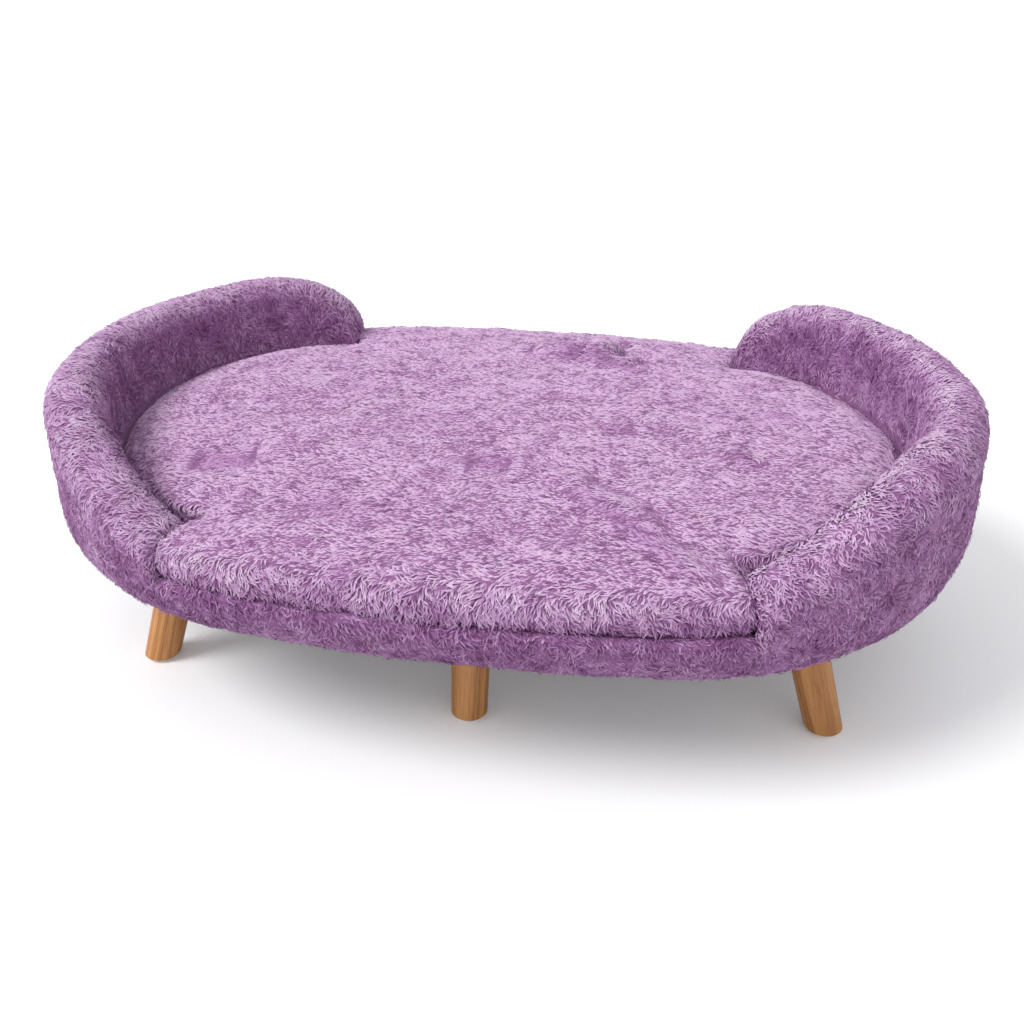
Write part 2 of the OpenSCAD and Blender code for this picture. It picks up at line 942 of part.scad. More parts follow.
// A quarter of the cushion's plan, set in by e, from the end round to the middle of the back
function cushion_quarter(e, arm_steps, side_steps) =
    let (arm_r = end_r - notch_w(e) - cushion_gap - e)
    let (ear_first = ear_angle(e))
    let (cut = ear_cut * notch_w(e) / arm_foot_w)
    let (ear_last = ear_first + arc_a(cut, end_r))
    concat(
        [for (i = [0:arm_steps])
            let (a = ear_first * i / arm_steps)
            [end_x + arm_r * cos(a), arm_r * sin(a)]],
        [[end_x + (end_r - e - cut) * cos(ear_first), (end_r - e - cut) * sin(ear_first)]],
        [[end_x + (end_r - e) * cos(ear_last), (end_r - e) * sin(ear_last)]],
        [for (i = [0:side_steps - 1])
            let (a = join_angle * (1 - i / side_steps))
            [(side_r - e) * sin(a), (side_r - e) * cos(a) - side_y]]
    );

function cushion_outline(e, arm_steps, side_steps) =
    let (quarter = cushion_quarter(e, arm_steps, side_steps))
    let (count = len(quarter))
    concat(
        quarter,
        [[0, half_d - e]],
        [for (i = [count - 1:-1:0]) [-quarter[i][0], quarter[i][1]]],
        [for (i = [1:count - 1]) [-quarter[i][0], -quarter[i][1]]],
        [[0, e - half_d]],
        [for (i = [count - 1:-1:1]) [quarter[i][0], -quarter[i][1]]]
    );

// Height of the cushion's crown at a distance in from its edge
function crown_z(e) =
    let (reach = half_d - roll_in)
    let (share = 1 - min(1, (e - roll_in) / reach))
    edge_z + crown_h * (1 - share * share * share);

// Distance in and height of each ring of the cushion from the top down, set in by d: the
// top falls from its crown and the sides draw in towards both seams
function cushion_rings(d) =
    let (h = edge_h - 2 * d)
    let (z = cushion_z + d)
    let (crown_shares = [0.55, 0.32, 0.14])
    let (side_shares = [[1, 1], [0.5, 0.9], [0.15, 0.72]])
    let (under_shares = [[0, 0.45], [0.3, 0.18], [1, 0]])
    concat(
        [for (p = crown_shares)
            let (e = roll_in + (half_d - roll_in) * p)
            [d + e, crown_z(e) - d]],
        [for (p = side_shares) [d + roll_in * p[0], z + h * p[1]]],
        [for (p = under_shares) [d + seam_in * p[0], z + h * p[1]]]
    );

function cushion_sections(rings, arm_steps, side_steps) = [
    for (ring = rings)
        [for (p = cushion_outline(ring[0], arm_steps, side_steps)) [p[0], p[1], ring[1]]]
];

// Groove in the foam that leaves the zip and its slider room
module zip_groove() {
    translate([-zip_l / 2 - slider_l, zip_y - tape_w / 2 - fit, 0])
        cube([zip_l + 2 * slider_l, tape_w + 2 * fit, tape_z + tape_t + fit]);
    translate([-zip_l / 2 - slider_l, zip_y - zip_slot_w / 2, 0])
        cube([zip_l + 2 * slider_l, zip_slot_w, groove_h]);
}

// Skin whose first section closes in facets that meet in the first of the tops, and whose
// last section closes in the second if there is one, or else in a flat face
module domed_skin(sections, tops) {
    rings = len(sections);
    count = len(sections[0]);
    end = (rings - 1) * count;
    apex = rings * count;
    points = concat([for (section = sections) each section], tops);
    first = [for (i = [0:count - 1]) [i, apex, (i + 1) % count]];
    last = len(tops) > 1
        ? [for (i = [0:count - 1]) [end + i, end + (i + 1) % count, apex + 1]]
        : [[for (i = [0:count - 1]) end + i]];
    polyhedron(points, concat(skin_faces(rings, count), first, last), convexity = 6);
}

// Middle of the cushion's crown, set in by d
function crown_top(d) = [0, 0, crown_z(half_d) - d];

module cushion_foam() {
    color(foam)
        difference() {
            domed_skin(cushion_sections(cushion_rings(foam_in), 7, 3), [crown_top(foam_in)]);
            zip_groove();
        }
}

// Rings down the outside of the cover, round its turned-in edge and back up the inside
function cover_rings() =
    let (inside = cushion_rings(cover_t))
    concat(
        cushion_rings(0),
        [[turn_in, cushion_z], [turn_in, cushion_z + cover_t]],
        [for (k = [len(inside) - 1:-1:0]) inside[k]]
    );

module cushion_cover() {
    color(plush)
        domed_skin(cushion_sections(cover_rings(), 7, 3), [crown_top(0), crown_top(cover_t)]);
}

module cushion_base_cloth() {
    slot_l = zip_l + 2 * (stop_l + fit);
    color(cloth)
        translate([0, 0, cushion_z])
            difference() {
                linear_extrude(cover_t)
                    polygon(cushion_outline(turn_in + fit, 7, 3));
                translate([-slot_l / 2, zip_y - zip_slot_w / 2, -over])
                    cube([slot_l, zip_slot_w, cover_t + 2 * over]);
            }
}

// Two tapes with a row of teeth on each, one stop across both rows where the zip is
// closed and a stop on each row where it is open
module cushion_zip() {
    row_y = teeth_gap / 2;
    color(cloth)
        translate([0, zip_y, 0]) {
            for (s = [0, 1])
                mirror([0, s, 0]) {
                    translate([-zip_l / 2 - tape_end, row_y + teeth_w / 2, tape_z])
                        cube([zip_l + 2 * tape_end, (tape_w - teeth_gap - teeth_w) / 2, tape_t]);
                    translate([-zip_l / 2, row_y, teeth_z])
                        cube([zip_l + stop_l, teeth_w, teeth_h]);
                }
            translate([-zip_l / 2 - stop_l, -row_y - teeth_w, teeth_z])
                cube([stop_l, teeth_gap + 2 * teeth_w, teeth_h]);
        }
}

// Two plates joined by a post between the rows of teeth, with the pull folded under
module zip_slider() {
    post_t = teeth_gap / 2;
    pull_l = slider_l;
    pull_w = slider_w / 2;
    pull_t = slider_t / 2;
    color(steel)
        translate([-zip_l / 2 + fit, zip_y, slider_z]) {
            for (z = [0, slider_h - slider_t])
                translate([0, -slider_w / 2, z])
                    cube([slider_l, slider_w, slider_t]);
            translate([0, -post_t / 2, 0])
                cube([slider_l / 3, post_t, slider_h]);
            translate([slider_l / 4, -pull_w / 2, -pull_t])
                cube([pull_l, pull_w, pull_t]);
        }
}

// A leg's axis runs from its top's middle down and outwards
module leg_cone(splay) {
    reach = frame_z / cos(splay);
    spare = leg_top_d;
    fall = (leg_top_d - leg_foot_d) / reach;
    rotate([0, -splay, 0])
        translate([0, 0, -reach - spare])
            cylinder(
                h = reach + 2 * spare,
                d1 = leg_foot_d - fall * spare,
                d2 = leg_top_d + fall * spare,
                $fn = 64
            );
}

// Rounds the lower edge of a leg that stands square on the floor
module foot_envelope(splay) {
    r = leg_foot_d / 2 / cos(splay);
    translate([0, 0, glide_h])
        rotate_extrude($fn = 64)
            union() {
                square([r - foot_r, foot_r]);
                translate([r - foot_r, foot_r])
                    circle(r = foot_r);
                translate([0, foot_r])
                    square([2 * leg_top_d, frame_z]);
            }
}

module leg(i) {
    splay = LEGS[i][2];
    out = frame_z * tan(splay);
    color(leg_wood)
        translate([LEGS[i][0], LEGS[i][1], 0])
            rotate([0, 0, LEGS[i][3]])
                difference() {
                    intersection() {
                        translate([0, 0, frame_z])
                            leg_cone(splay);
                        translate([-leg_top_d, -leg_top_d, glide_h])
                            cube([out + 2 * leg_top_d, 2 * leg_top_d, plate_z - glide_h]);
                        translate([out - glide_h * tan(splay), 0, 0])
                            foot_envelope(splay);
                    }
                    translate([0, 0, plate_z - bolt_down - fit])
                        cylinder(h = bolt_down + fit + over, d = bolt_d + hole_fit);
                    translate([out, 0, 0])
                        cylinder(h = pin_top + fit, d = pin_d + hole_fit);
                }
}

// Pin of the glide, driven into the leg
pin_d = 4;
pin_top = 14;

module leg_front_left() {
    leg(0);
}

module leg_front_centre() {
    leg(1);
}

module leg_front_right() {
    leg(2);
}

module leg_rear_left() {
    leg(3);
}

module leg_rear_centre() {
    leg(4);
}

module leg_rear_right() {
    leg(5);
}

module leg_glides() {
    edge_r = glide_h / 3;
    color(nylon)
        for (leg = LEGS)
            translate([leg[0], leg[1], 0])
                rotate([0, 0, leg[3]])
                    translate([frame_z * tan(leg[2]), 0, 0]) {
                        rotate_extrude() {
                            square([glide_d / 2 - edge_r, glide_h]);
                            translate([0, edge_r])
                                square([glide_d / 2, glide_h - edge_r]);
                            translate([glide_d / 2 - edge_r, edge_r])
                                circle(r = edge_r);
                        }
                        cylinder(h = pin_top, d = pin_d);
                    }
}

module hanger_bolts() {
    color(steel)
        for (leg = LEGS)
            translate([leg[0], leg[1], plate_z - bolt_down])
                cylinder(h = bolt_down + plate_t + bolt_up, d = bolt_d);
}

module leg_plate() {
    half = plate_w / 2 - plate_r;
    difference() {
        union() {
            translate([0, 0, plate_z])
                linear_extrude(plate_t)
                    union() {
                        square([plate_w, 2 * half], center = true);
                        square([2 * half, plate_w], center = true);
                        for (x = [-half, half], y = [-half, half])
                            translate([x, y])
                                circle(r = plate_r);
                    }
            translate([0, 0, plate_z])
                cylinder(h = plate_t + boss_h, d = boss_d);
        }
        translate([0, 0, plate_z - over])
            cylinder(h = plate_t + boss_h + 2 * over, d = bolt_d + hole_fit);
        at_plate_screws() {
            translate([0, 0, plate_z - over])
                cylinder(h = plate_t + 2 * over, d = screw_d + hole_fit);
            translate([0, 0, plate_z + screw_head_h + fit])
                mirror([0, 0, 1])
                    screw_sink();
        }
    }
}

module leg_plates() {
    color(steel)
        for (leg = LEGS)
            translate([leg[0], leg[1], 0])
                rotate([0, 0, leg[3]])
                    leg_plate();
}

module plate_screws() {
    color(steel)
        for (leg = LEGS)
            translate([leg[0], leg[1], plate_z])
                rotate([0, 0, leg[3]])
                    at_plate_screws()
                        mirror([0, 0, 1])
                            wood_screw(plate_screw_l);
}

base_front_rail();
base_rear_rail();
base_left_rail();
base_right_rail();
cross_rails();
seat_deck();
deck_screws();
deck_pad();
dust_cover();
left_arm_bottom_rail();
left_arm_top_rail();
left_arm_posts();
left_arm_end_blocks();
left_arm_inner_panel();
left_arm_outer_panel();
left_arm_foam();
left_arm_cover();
right_arm_bottom_rail();
right_arm_top_rail();
right_arm_posts();
right_arm_end_blocks();
right_arm_inner_panel();
right_arm_outer_panel();
right_arm_foam();
right_arm_cover();
arm_screws();
arm_washers();
front_band_foam();
front_band_cover();
rear_band_foam();
rear_band_cover();
cushion_foam();
cushion_cover();
cushion_base_cloth();
cushion_zip();
zip_slider();
leg_front_left();
leg_front_centre();
leg_front_right();
leg_rear_left();
leg_rear_centre();
leg_rear_right();
leg_glides();
hanger_bolts();
leg_plates();
plate_screws();
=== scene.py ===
import math

import bpy
import numpy as np
from mathutils import Matrix, Vector
from mathutils.geometry import delaunay_2d_cdt


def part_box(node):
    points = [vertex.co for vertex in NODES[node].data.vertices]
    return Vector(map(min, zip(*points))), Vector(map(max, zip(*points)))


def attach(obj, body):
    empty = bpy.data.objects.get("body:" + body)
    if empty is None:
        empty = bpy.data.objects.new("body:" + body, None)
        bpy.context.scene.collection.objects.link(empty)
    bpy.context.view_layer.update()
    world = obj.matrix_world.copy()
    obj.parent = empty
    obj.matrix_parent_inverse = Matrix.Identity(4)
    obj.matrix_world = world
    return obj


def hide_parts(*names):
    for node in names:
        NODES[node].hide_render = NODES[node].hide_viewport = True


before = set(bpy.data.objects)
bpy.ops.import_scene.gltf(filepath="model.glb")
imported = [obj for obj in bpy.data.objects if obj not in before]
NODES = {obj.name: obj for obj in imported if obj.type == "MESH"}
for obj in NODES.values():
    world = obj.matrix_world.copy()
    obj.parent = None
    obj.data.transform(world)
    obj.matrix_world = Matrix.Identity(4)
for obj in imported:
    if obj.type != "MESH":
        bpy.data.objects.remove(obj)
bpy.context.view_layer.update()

MM = 0.001

# The part's sizes, in millimetres as in part.scad
HALF_L, HALF_D, BOW = 500.0, 341.0, 11.0
END_R = HALF_D - BOW
END_X = HALF_L - END_R
SIDE_R = (END_X ** 2 + HALF_D ** 2 - END_R ** 2) / (2 * BOW)
SIDE_Y = SIDE_R - HALF_D
JOIN = math.degrees(math.atan2(END_X, SIDE_Y))
FRAME_Z, RAIL_TOP, DECK_TOP = 138.0, 178.0, 190.0
COVER_Z, BAND_TOP = 134.6, 193.4
CUSHION_Z, EDGE_H, CROWN_H = 193.8, 40.0, 17.0
ARM_TOP, ARM_END, REAR_LOW, REAR_RISE = 315.0, 72.0, 232.0, 25.0
FRONT_LOW, FRONT_RISE = 230.0, 40.0
FOOT_W, CROWN_R = 78.0, 28.0
LEG_TOPS = {
    "front_left": (-326.7, -153.0, 17.0, 202.0), "front_centre": (0.0, -184.0, 11.0, 270.0),
    "front_right": (326.7, -153.0, 17.0, -22.0), "rear_left": (-326.7, 153.0, 17.0, 158.0),
    "rear_centre": (0.0, 184.0, 11.0, 90.0), "rear_right": (326.7, 153.0, 17.0, 22.0),
}
PLATE_W, PAD_Z, PAD_T, DUST_T, BASE_T = 58.0, 190.4, 3.0, 0.8, 1.2
TAPE_Z, TAPE_T, TAPE_W, TEETH_GAP, TEETH_W, SLOT_W = 196.9, 0.8, 24.0, 1.4, 2.0, 10.0
SLIDER_L, SLIDER_W, SLIDER_T = 14.0, 8.8, 1.1
UNDER_W, UNDER_H, FLAP_IN, FLAT_IN, LAP_IN = 43.0, 64.0, 60.0, 52.0, 58.0
DECK_IN, RAIL_IN, FIT = 18.0, 36.0, 0.4
GAP, SEAM_IN, ROLL_IN, TURN_IN = 2.0, 9.0, 14.0, 24.0
NOTCH_FADE = 0.6 * HALF_D
EAR_CUT, EAR_SHARE = 10.0, 0.75
ZIP_Y, ZIP_L = 120.0, 560.0

# Where the visual model departs from the solids, as the photograph shows it: the arms' plush
# ends a little behind the solids' ends, and their inner walls lean out over the seat
PLUSH_FRONT, PLUSH_REAR = 69.7, 73.5
WALL_IN, SEAT_FOOT = 61.0, 69.0
# Degrees to a millimetre round the ends of the plan
ARC = math.degrees(1 / END_R)

# The pile: locks to the square metre, their length and width in metres, the shades in their
# map, and the locks in a piece at most
FUR, SEAT_FUR = 150000, 140000
LOCK_L, LOCK_W, SEAT_LOCK_L, SEAT_LOCK_W = 0.0092, 0.0019, 0.0088, 0.0020
COLUMNS, PIECE_LOCKS = 32, 30000
# A lock's segments, the share of low locks that are dark slits, painted shade for the gaps
# that open into the pile, and how round a lock shades
SEGMENTS, SHADE_SLITS, ROUND = 2, 0.06, 0.55

# The cushion: how far its cover and its core are set in, and the voxels, pressure and frames
# of the cloth simulation that blows the cover up over its foam
COVER_IN, CORE_IN = 1.5, 8.0
VOXEL, PRESSURE, CLOTH_FRAMES = 0.0055, 4.0, 20
# Its top is eased above this height, in so many rounds
EASE_FROM, EASE_ROUNDS = 38.0, 70
# Creases on the seat: their two ends in millimetres, width and height in metres, and skew
CREASES = [
    ((12, 230), (98, 198), 0.023, 0.0145, -0.4), ((74, 204), (128, 172), 0.021, 0.0065, -0.35),
    ((98, -140), (236, -290), 0.015, 0.0052, -0.5), ((36, -120), (112, -154), 0.015, 0.0026, -0.5),
    ((250, -48), (284, -74), 0.011, 0.0048, -0.8), ((164, 30), (238, -18), 0.016, 0.0024, -0.5),
    ((-300, -150), (-232, -140), 0.026, -0.0050, 0.0),
    ((-14, -124), (34, -116), 0.022, -0.0034, 0.0), ((110, -18), (150, -4), 0.022, -0.0034, 0.0),
]
# Places on the seat painted darker: painted shade in its hollows and along its creases, and
# where the pile is brushed the wrong way. Centre, half lengths, turn and strength
RUBBED_AND_SHADED = [
    (60, 190, 60, 14, -0.5, 0.7), (104, 172, 40, 9, -0.65, 0.7), (172, -232, 92, 9, -0.81, 0.8),
    (262, -66, 26, 8, -0.6, 0.9), (-266, -146, 42, 17, 0.1, 0.75), (8, -118, 36, 13, 0.15, 0.65),
    (130, -12, 34, 12, 0.2, 0.65), (-60, -30, 60, 40, 0.3, 0.25), (210, 60, 70, 40, -0.3, 0.25),
    (-180, 40, 60, 26, 0.4, 0.2), (-120, -240, 70, 22, 0.0, 0.25), (300, 40, 30, 20, 0.4, 0.35),
]


# Shader nodes

def linear(r, g, b):
    """A colour of 0 to 255 as the screen shows it, in the linear values that shaders take."""
    out = []
    for v in (r, g, b):
        v = v / 255
        out.append(v / 12.92 if v <= 0.04045 else ((v + 0.055) / 1.055) ** 2.4)
    return (*out, 1.0)


def grey(v):
    return (v, v, v, 1)


class Nodes:
    """A node tree. What goes into a node is a value or (node, output), and all but node()
    itself give (node, output)."""

    def __init__(self, tree):
        self.tree = tree

    def plug(self, socket, value):
        if isinstance(value, tuple) and isinstance(value[0], bpy.types.Node):
            self.tree.links.new(value[0].outputs[value[1]], socket)
        else:
            socket.default_value = value

    def node(self, kind, inputs=(), **facts):
        made = self.tree.nodes.new(f"ShaderNode{kind}")
        for key, value in facts.items():
            setattr(made, key, value)
        for key, value in dict(inputs).items():
            self.plug(made.inputs[key], value)
        return made

    def maths(self, operation, *values, **facts):
        return self.node("Math", enumerate(values), operation=operation, **facts), 0

    def vector(self, operation, *values, **inputs):
        inputs.update(enumerate(values))
        return self.node("VectorMath", inputs, operation=operation), 0

    def mapped(self, vector, **inputs):
        return self.node("Mapping", {"Vector": vector, **inputs}), 0

    def placed(self, scale=(1, 1, 1)):
        """Object coordinates, stretched."""
        return self.mapped((self.node("TexCoord"), "Object"), Scale=scale)

    def split(self, vector):
        return self.node("SeparateXYZ", {0: vector})

    def noise(self, vector, scale, detail=2.0, **more):
        inputs = {"Vector": vector, "Scale": scale, "Detail": detail, **more}
        return self.node("TexNoise", inputs), "Fac"

    def wave(self, vector, scale, distortion, detail, detail_scale, **facts):
        inputs = {"Vector": vector, "Scale": scale, "Distortion": distortion}
        inputs.update({"Detail": detail, "Detail Scale": detail_scale})
        return self.node("TexWave", inputs, wave_profile="SIN", **facts), "Fac"

    def ramp(self, factor, *stops):
        made = self.node("ValToRGB", {"Fac": factor})
        elements = made.color_ramp.elements
        while len(elements) < len(stops):
            elements.new(0.5)
        for element, (place, colour) in zip(elements, stops):
            element.position = place
            element.color = colour
        return made, "Color"

    def mix(self, a, b, factor=1.0, blend="MULTIPLY"):
        return self.node("Mix", {0: factor, 6: a, 7: b}, data_type="RGBA", blend_type=blend), 2


class Material(Nodes):
    """A material and its Principled shader."""

    def __init__(self, name, roughness):
        self.made = bpy.data.materials.new(name)
        self.made.use_nodes = True
        super().__init__(self.made.node_tree)
        self.shade({"Roughness": roughness})

    def shade(self, inputs):
        shader = self.tree.nodes["Principled BSDF"]
        for key, value in inputs.items():
            self.plug(shader.inputs[key], value)

    def dressed(self, colour, height, distance, strength, **inputs):
        """The finished material, with its colour and its bump."""
        bump = self.node("Bump", {"Height": height, "Distance": distance, "Strength": strength})
        self.shade({"Base Color": colour, "Normal": (bump, "Normal"), **inputs})
        return self.made


# Camera and stage

def make_camera():
    across = Vector((0.98247198, 0.18635278, -0.00463206))
    above = Vector((-0.08285953, 0.45883359, 0.88465023))
    back = Vector((0.16698238, -0.86876025, 0.46623224))
    data = bpy.data.cameras.new("camera")
    data.sensor_width = 36
    data.lens = 42.286
    data.shift_x = 0.00596
    data.shift_y = -0.0159
    data.clip_start = 0.01
    data.clip_end = 100
    camera = bpy.data.objects.new("camera", data)
    bpy.context.scene.collection.objects.link(camera)
    place = Matrix.Translation((0.23085314, -1.20106105, 0.79456608))
    camera.matrix_world = place @ Matrix((across, above, back)).transposed().to_4x4()
    bpy.context.scene.camera = camera


def make_lights():
    """Two soft suns and a pale sky, which the camera and mirrors see as plain white."""
    scene = bpy.context.scene
    scene.view_settings.view_transform = "Standard"
    scene.world = bpy.data.worlds.new("studio")
    scene.world.use_nodes = True
    world = Nodes(scene.world.node_tree)
    world.tree.nodes.clear()
    up = world.split((world.node("TexCoord"), "Generated"))
    sky = world.ramp(
        (up, "Z"), (0.0, (0.3, 0.3, 0.31, 1)), (0.25, (0.62, 0.63, 0.65, 1)),
        (1.0, (0.97, 0.985, 1, 1)),
    )
    light = world.node("Background", {"Color": sky, "Strength": 0.86})
    seen = world.node("Background", {"Color": grey(1), "Strength": 1.0})
    path = world.node("LightPath")
    seen_by = world.maths("ADD", (path, "Is Camera Ray"), (path, "Is Glossy Ray"))
    seen_by = world.maths("ADD", seen_by, (path, "Is Transmission Ray"), use_clamp=True)
    mix = world.node("MixShader", {0: seen_by, 1: (light, 0), 2: (seen, 0)})
    world.node("OutputWorld", {"Surface": (mix, 0)})
    for name, energy, place, spread in (
        ("key", 2.15, (-2.0, -1.15, 2.6), 28), ("fill", 0.3, (1.4, -2.0, 1.8), 60),
    ):
        data = bpy.data.lights.new(name, "SUN")
        data.energy, data.angle = energy, math.radians(spread)
        lamp = bpy.data.objects.new(name, data)
        scene.collection.objects.link(lamp)
        lamp.location = place
        aim = Vector((0, 0, 0.1)) - Vector(place)
        lamp.rotation_euler = aim.to_track_quat("-Z", "Y").to_euler()


def make_floor():
    paper = Material("floor_paper", 0.95)
    noise = paper.node("TexNoise", {"Scale": 3.0, "Detail": 2.0})
    tone = paper.ramp((noise, "Fac"), (0.0, (0.9, 0.9, 0.905, 1)), (1.0, grey(0.92)))
    glow = paper.maths("MULTIPLY", (paper.node("LightPath"), "Is Camera Ray"), 0.12)
    paper.shade({"Base Color": tone, "Emission Color": grey(1), "Emission Strength": glow})
    s = 30.0
    corners = [(-s, -s, 0), (s, -s, 0), (s, s, 0), (-s, s, 0)]
    floor = mesh_object("floor", corners, [(0, 1, 2, 3)], paper.made, smooth=False)
    bpy.context.scene.collection.objects.link(floor)


# Materials

def pile_material():
    """The plush's locks. Their map runs from root to tip upwards, and has a column for each
    shade, with the lock's width across the column."""
    m = Material("plush_pile", 0.62)
    uv = (m.node("UVMap", uv_map="OFBake"), "UV")
    split = m.split(uv)
    scaled = m.maths("MULTIPLY", (split, "X"), float(COLUMNS))
    shade = m.maths("DIVIDE", m.maths("FLOOR", scaled), COLUMNS - 1.0)
    tip = m.ramp(
        shade, (0.0, linear(108, 54, 103)), (0.1, linear(142, 90, 140)),
        (0.35, linear(184, 136, 184)), (0.7, linear(226, 188, 226)), (1.0, linear(247, 222, 247)),
    )
    # Painted shade: each lock darkens towards its root, deep in the pile
    root = m.mix(tip, linear(174, 128, 174))
    along = m.ramp((split, "Y"), (0.0, grey(0)), (0.28, grey(0.35)), (0.75, grey(1)))
    colour = m.mix(root, tip, along, "MIX")
    # Fine hairs: lines that run along the lock, with painted shade between them
    hairs = m.maths("MULTIPLY", m.maths("FRACT", scaled), 34.0)
    wander = m.maths("MULTIPLY", m.noise(uv, 9.0, 1.0), 7.0)
    hairs = m.maths("SINE", m.maths("ADD", hairs, wander))
    hairs = m.maths("MULTIPLY_ADD", hairs, 0.5, 0.5)
    dark = m.mix((0.84, 0.77, 0.85, 1), grey(1), hairs, "MIX")
    sheen = {"Sheen Weight": 0.1, "Sheen Roughness": 0.4, "Sheen Tint": (0.9, 0.6, 0.9, 1)}
    m.shade({"Specular IOR Level": 0.15, **sheen})
    return m.dressed(m.mix(colour, dark), hairs, 0.0004, 0.5)


def ground_material():
    """The ground of the plush under its locks: short pile, dark with painted shade from the locks
    over it.
    """
    m = Material("plush_ground", 0.85)
    coords = m.placed()
    noise = m.noise(coords, 260.0, 4.0, Roughness=0.6)
    colour = m.ramp(noise, (0.3, linear(122, 74, 119)), (0.7, linear(164, 114, 163)))
    cloud = m.ramp(m.noise(coords, 26.0), (0.3, (0.8, 0.76, 0.82, 1)), (0.7, grey(1)))
    m.shade({"Sheen Weight": 0.2, "Sheen Tint": (0.9, 0.6, 0.9, 1)})
    return m.dressed(m.mix(colour, cloud), noise, 0.002, 0.8)


def wood_material(name, axis, heart, tones, ring, roughness):
    """Wood whose grain runs along axis, with its growth rings round heart, a point in metres.
    tones are its dark, middle and light colours."""
    m = Material(name, roughness)
    dark, mid, light = tones
    turn = Vector(axis).normalized().rotation_difference(Vector((0, 0, 1))).to_euler()
    turned = m.mapped(m.vector("SUBTRACT", m.placed(), heart), Rotation=turn)
    drawn = m.mapped(turned, Scale=(1, 1, 0.07))
    sway = m.noise(drawn, 22.0, 3.0)[0], "Color"
    bent = m.vector("ADD", drawn, m.vector("SCALE", sway, Scale=0.016))
    rings = m.wave(bent, ring / 6.28, 1.6, 2.0, 1.2, wave_type="RINGS", rings_direction="Z")
    tone = m.ramp(rings, (0.0, light), (0.5, mid), (0.93, dark), (1.0, mid))
    fine = m.noise(m.mapped(turned, Scale=(1, 1, 0.03)), 900.0, 3.0, Roughness=0.65)
    streak = m.ramp(
        fine, (0.36, (0.62, 0.56, 0.5, 1)), (0.5, (0.94, 0.93, 0.92, 1)),
        (0.7, (1.08, 1.07, 1.05, 1)),
    )
    cloud = m.ramp(
        m.noise(drawn, 26.0), (0.3, (0.82, 0.79, 0.76, 1)), (0.7, (1.1, 1.08, 1.06, 1)),
    )
    colour = m.mix(m.mix(tone, streak, 0.75), cloud, 0.8)
    rough = m.ramp(fine, (0.3, grey(roughness + 0.12)), (0.7, grey(roughness - 0.04)))
    return m.dressed(colour, fine, 0.0003, 0.5, Roughness=rough)


def cloth_material(name, dark, light, threads, roughness):
    """Plain weave, with threads to the metre."""
    m = Material(name, roughness)
    coords = m.placed()
    high = m.maths("MAXIMUM", *(
        m.wave(coords, threads / 20, 0.6, 1.0, 3.0, wave_type="BANDS", bands_direction=way)
        for way in "XY"
    ))
    colour = m.ramp(high, (0.2, dark), (1.0, light))
    cloud = m.ramp(m.noise(coords, 60.0, 3.0), (0.3, grey(0.85)), (0.7, grey(1.08)))
    return m.dressed(m.mix(colour, cloud), high, 0.0002, 0.8)


def fibre_material(name, dark, light, scale=700.0, roughness=0.95, depth=0.0008):
    """Felt, foam or hardboard: short fibres or pores in every direction."""
    m = Material(name, roughness)
    coords = m.placed()
    noise = m.noise(coords, scale, 5.0, Roughness=0.7, Distortion=0.6)
    colour = m.ramp(noise, (0.32, dark), (0.68, light))
    cloud = m.ramp(m.noise(coords, scale / 18), (0.3, grey(0.88)), (0.7, grey(1.05)))
    return m.dressed(m.mix(colour, cloud), noise, depth, 0.7)


def plywood_material():
    """Grain on the faces, and plies 1.5 mm thick along the edges."""
    m = Material("birch_plywood", 0.6)
    grain = m.noise(m.placed((1.2, 22, 22)), 9.0, 6.0, Roughness=0.6, Distortion=1.4)
    face = m.ramp(
        grain, (0.3, linear(190, 150, 104)), (0.5, linear(214, 178, 132)),
        (0.7, linear(226, 196, 152)),
    )
    height = m.split((m.node("TexCoord"), "Object"))
    ply = m.maths("FRACT", m.maths("MULTIPLY", (height, "Z"), 1000 / 1.5))
    edge = m.ramp(
        ply, (0.0, linear(96, 62, 36)), (0.1, linear(176, 132, 86)), (0.5, linear(212, 172, 122)),
        (1.0, linear(168, 124, 80)),
    )
    normal = m.split((m.node("NewGeometry"), "Normal"))
    flat = m.maths("GREATER_THAN", m.maths("ABSOLUTE", (normal, "Z")), 0.5)
    return m.dressed(m.mix(edge, face, flat, "MIX"), grain, 0.0004, 0.4)


def metal_material(name, colour, roughness, metallic=1.0):
    m = Material(name, roughness)
    m.shade({"Metallic": metallic})
    coords = m.placed()
    noise = m.noise(coords, 420.0, 4.0)
    spangle = m.node("TexVoronoi", {"Vector": coords, "Scale": 260.0})
    dark = tuple(v * 0.82 for v in colour[:3]) + (1,)
    tone = m.ramp((spangle, "Color"), (0.0, dark), (1.0, colour))
    rough = m.ramp(noise, (0.3, grey(roughness - 0.08)), (0.7, grey(roughness + 0.14)))
    return m.dressed(tone, noise, 0.0001, 0.3, Roughness=rough)


def nylon_material():
    m = Material("glide_nylon", 0.38)
    noise = m.noise(m.placed(), 300.0, 3.0)
    colour = m.ramp(noise, (0.3, linear(226, 223, 214)), (0.7, linear(243, 241, 234)))
    return m.dressed(colour, noise, 0.0001, 0.4)


# Meshes

def put(obj, body, slot, *replaced):
    bpy.context.scene.collection.objects.link(obj)
    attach(obj, body)
    if replaced:
        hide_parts(*replaced)
    return obj


def mesh_object(name, points, faces, mat, smooth=True):
    mesh = bpy.data.meshes.new(name)
    mesh.from_pydata([tuple(p) for p in points], [], [tuple(int(i) for i in f) for f in faces])
    mesh.update()
    mesh.polygons.foreach_set("use_smooth", [smooth] * len(mesh.polygons))
    mesh.materials.append(mat)
    return bpy.data.objects.new(name, mesh)


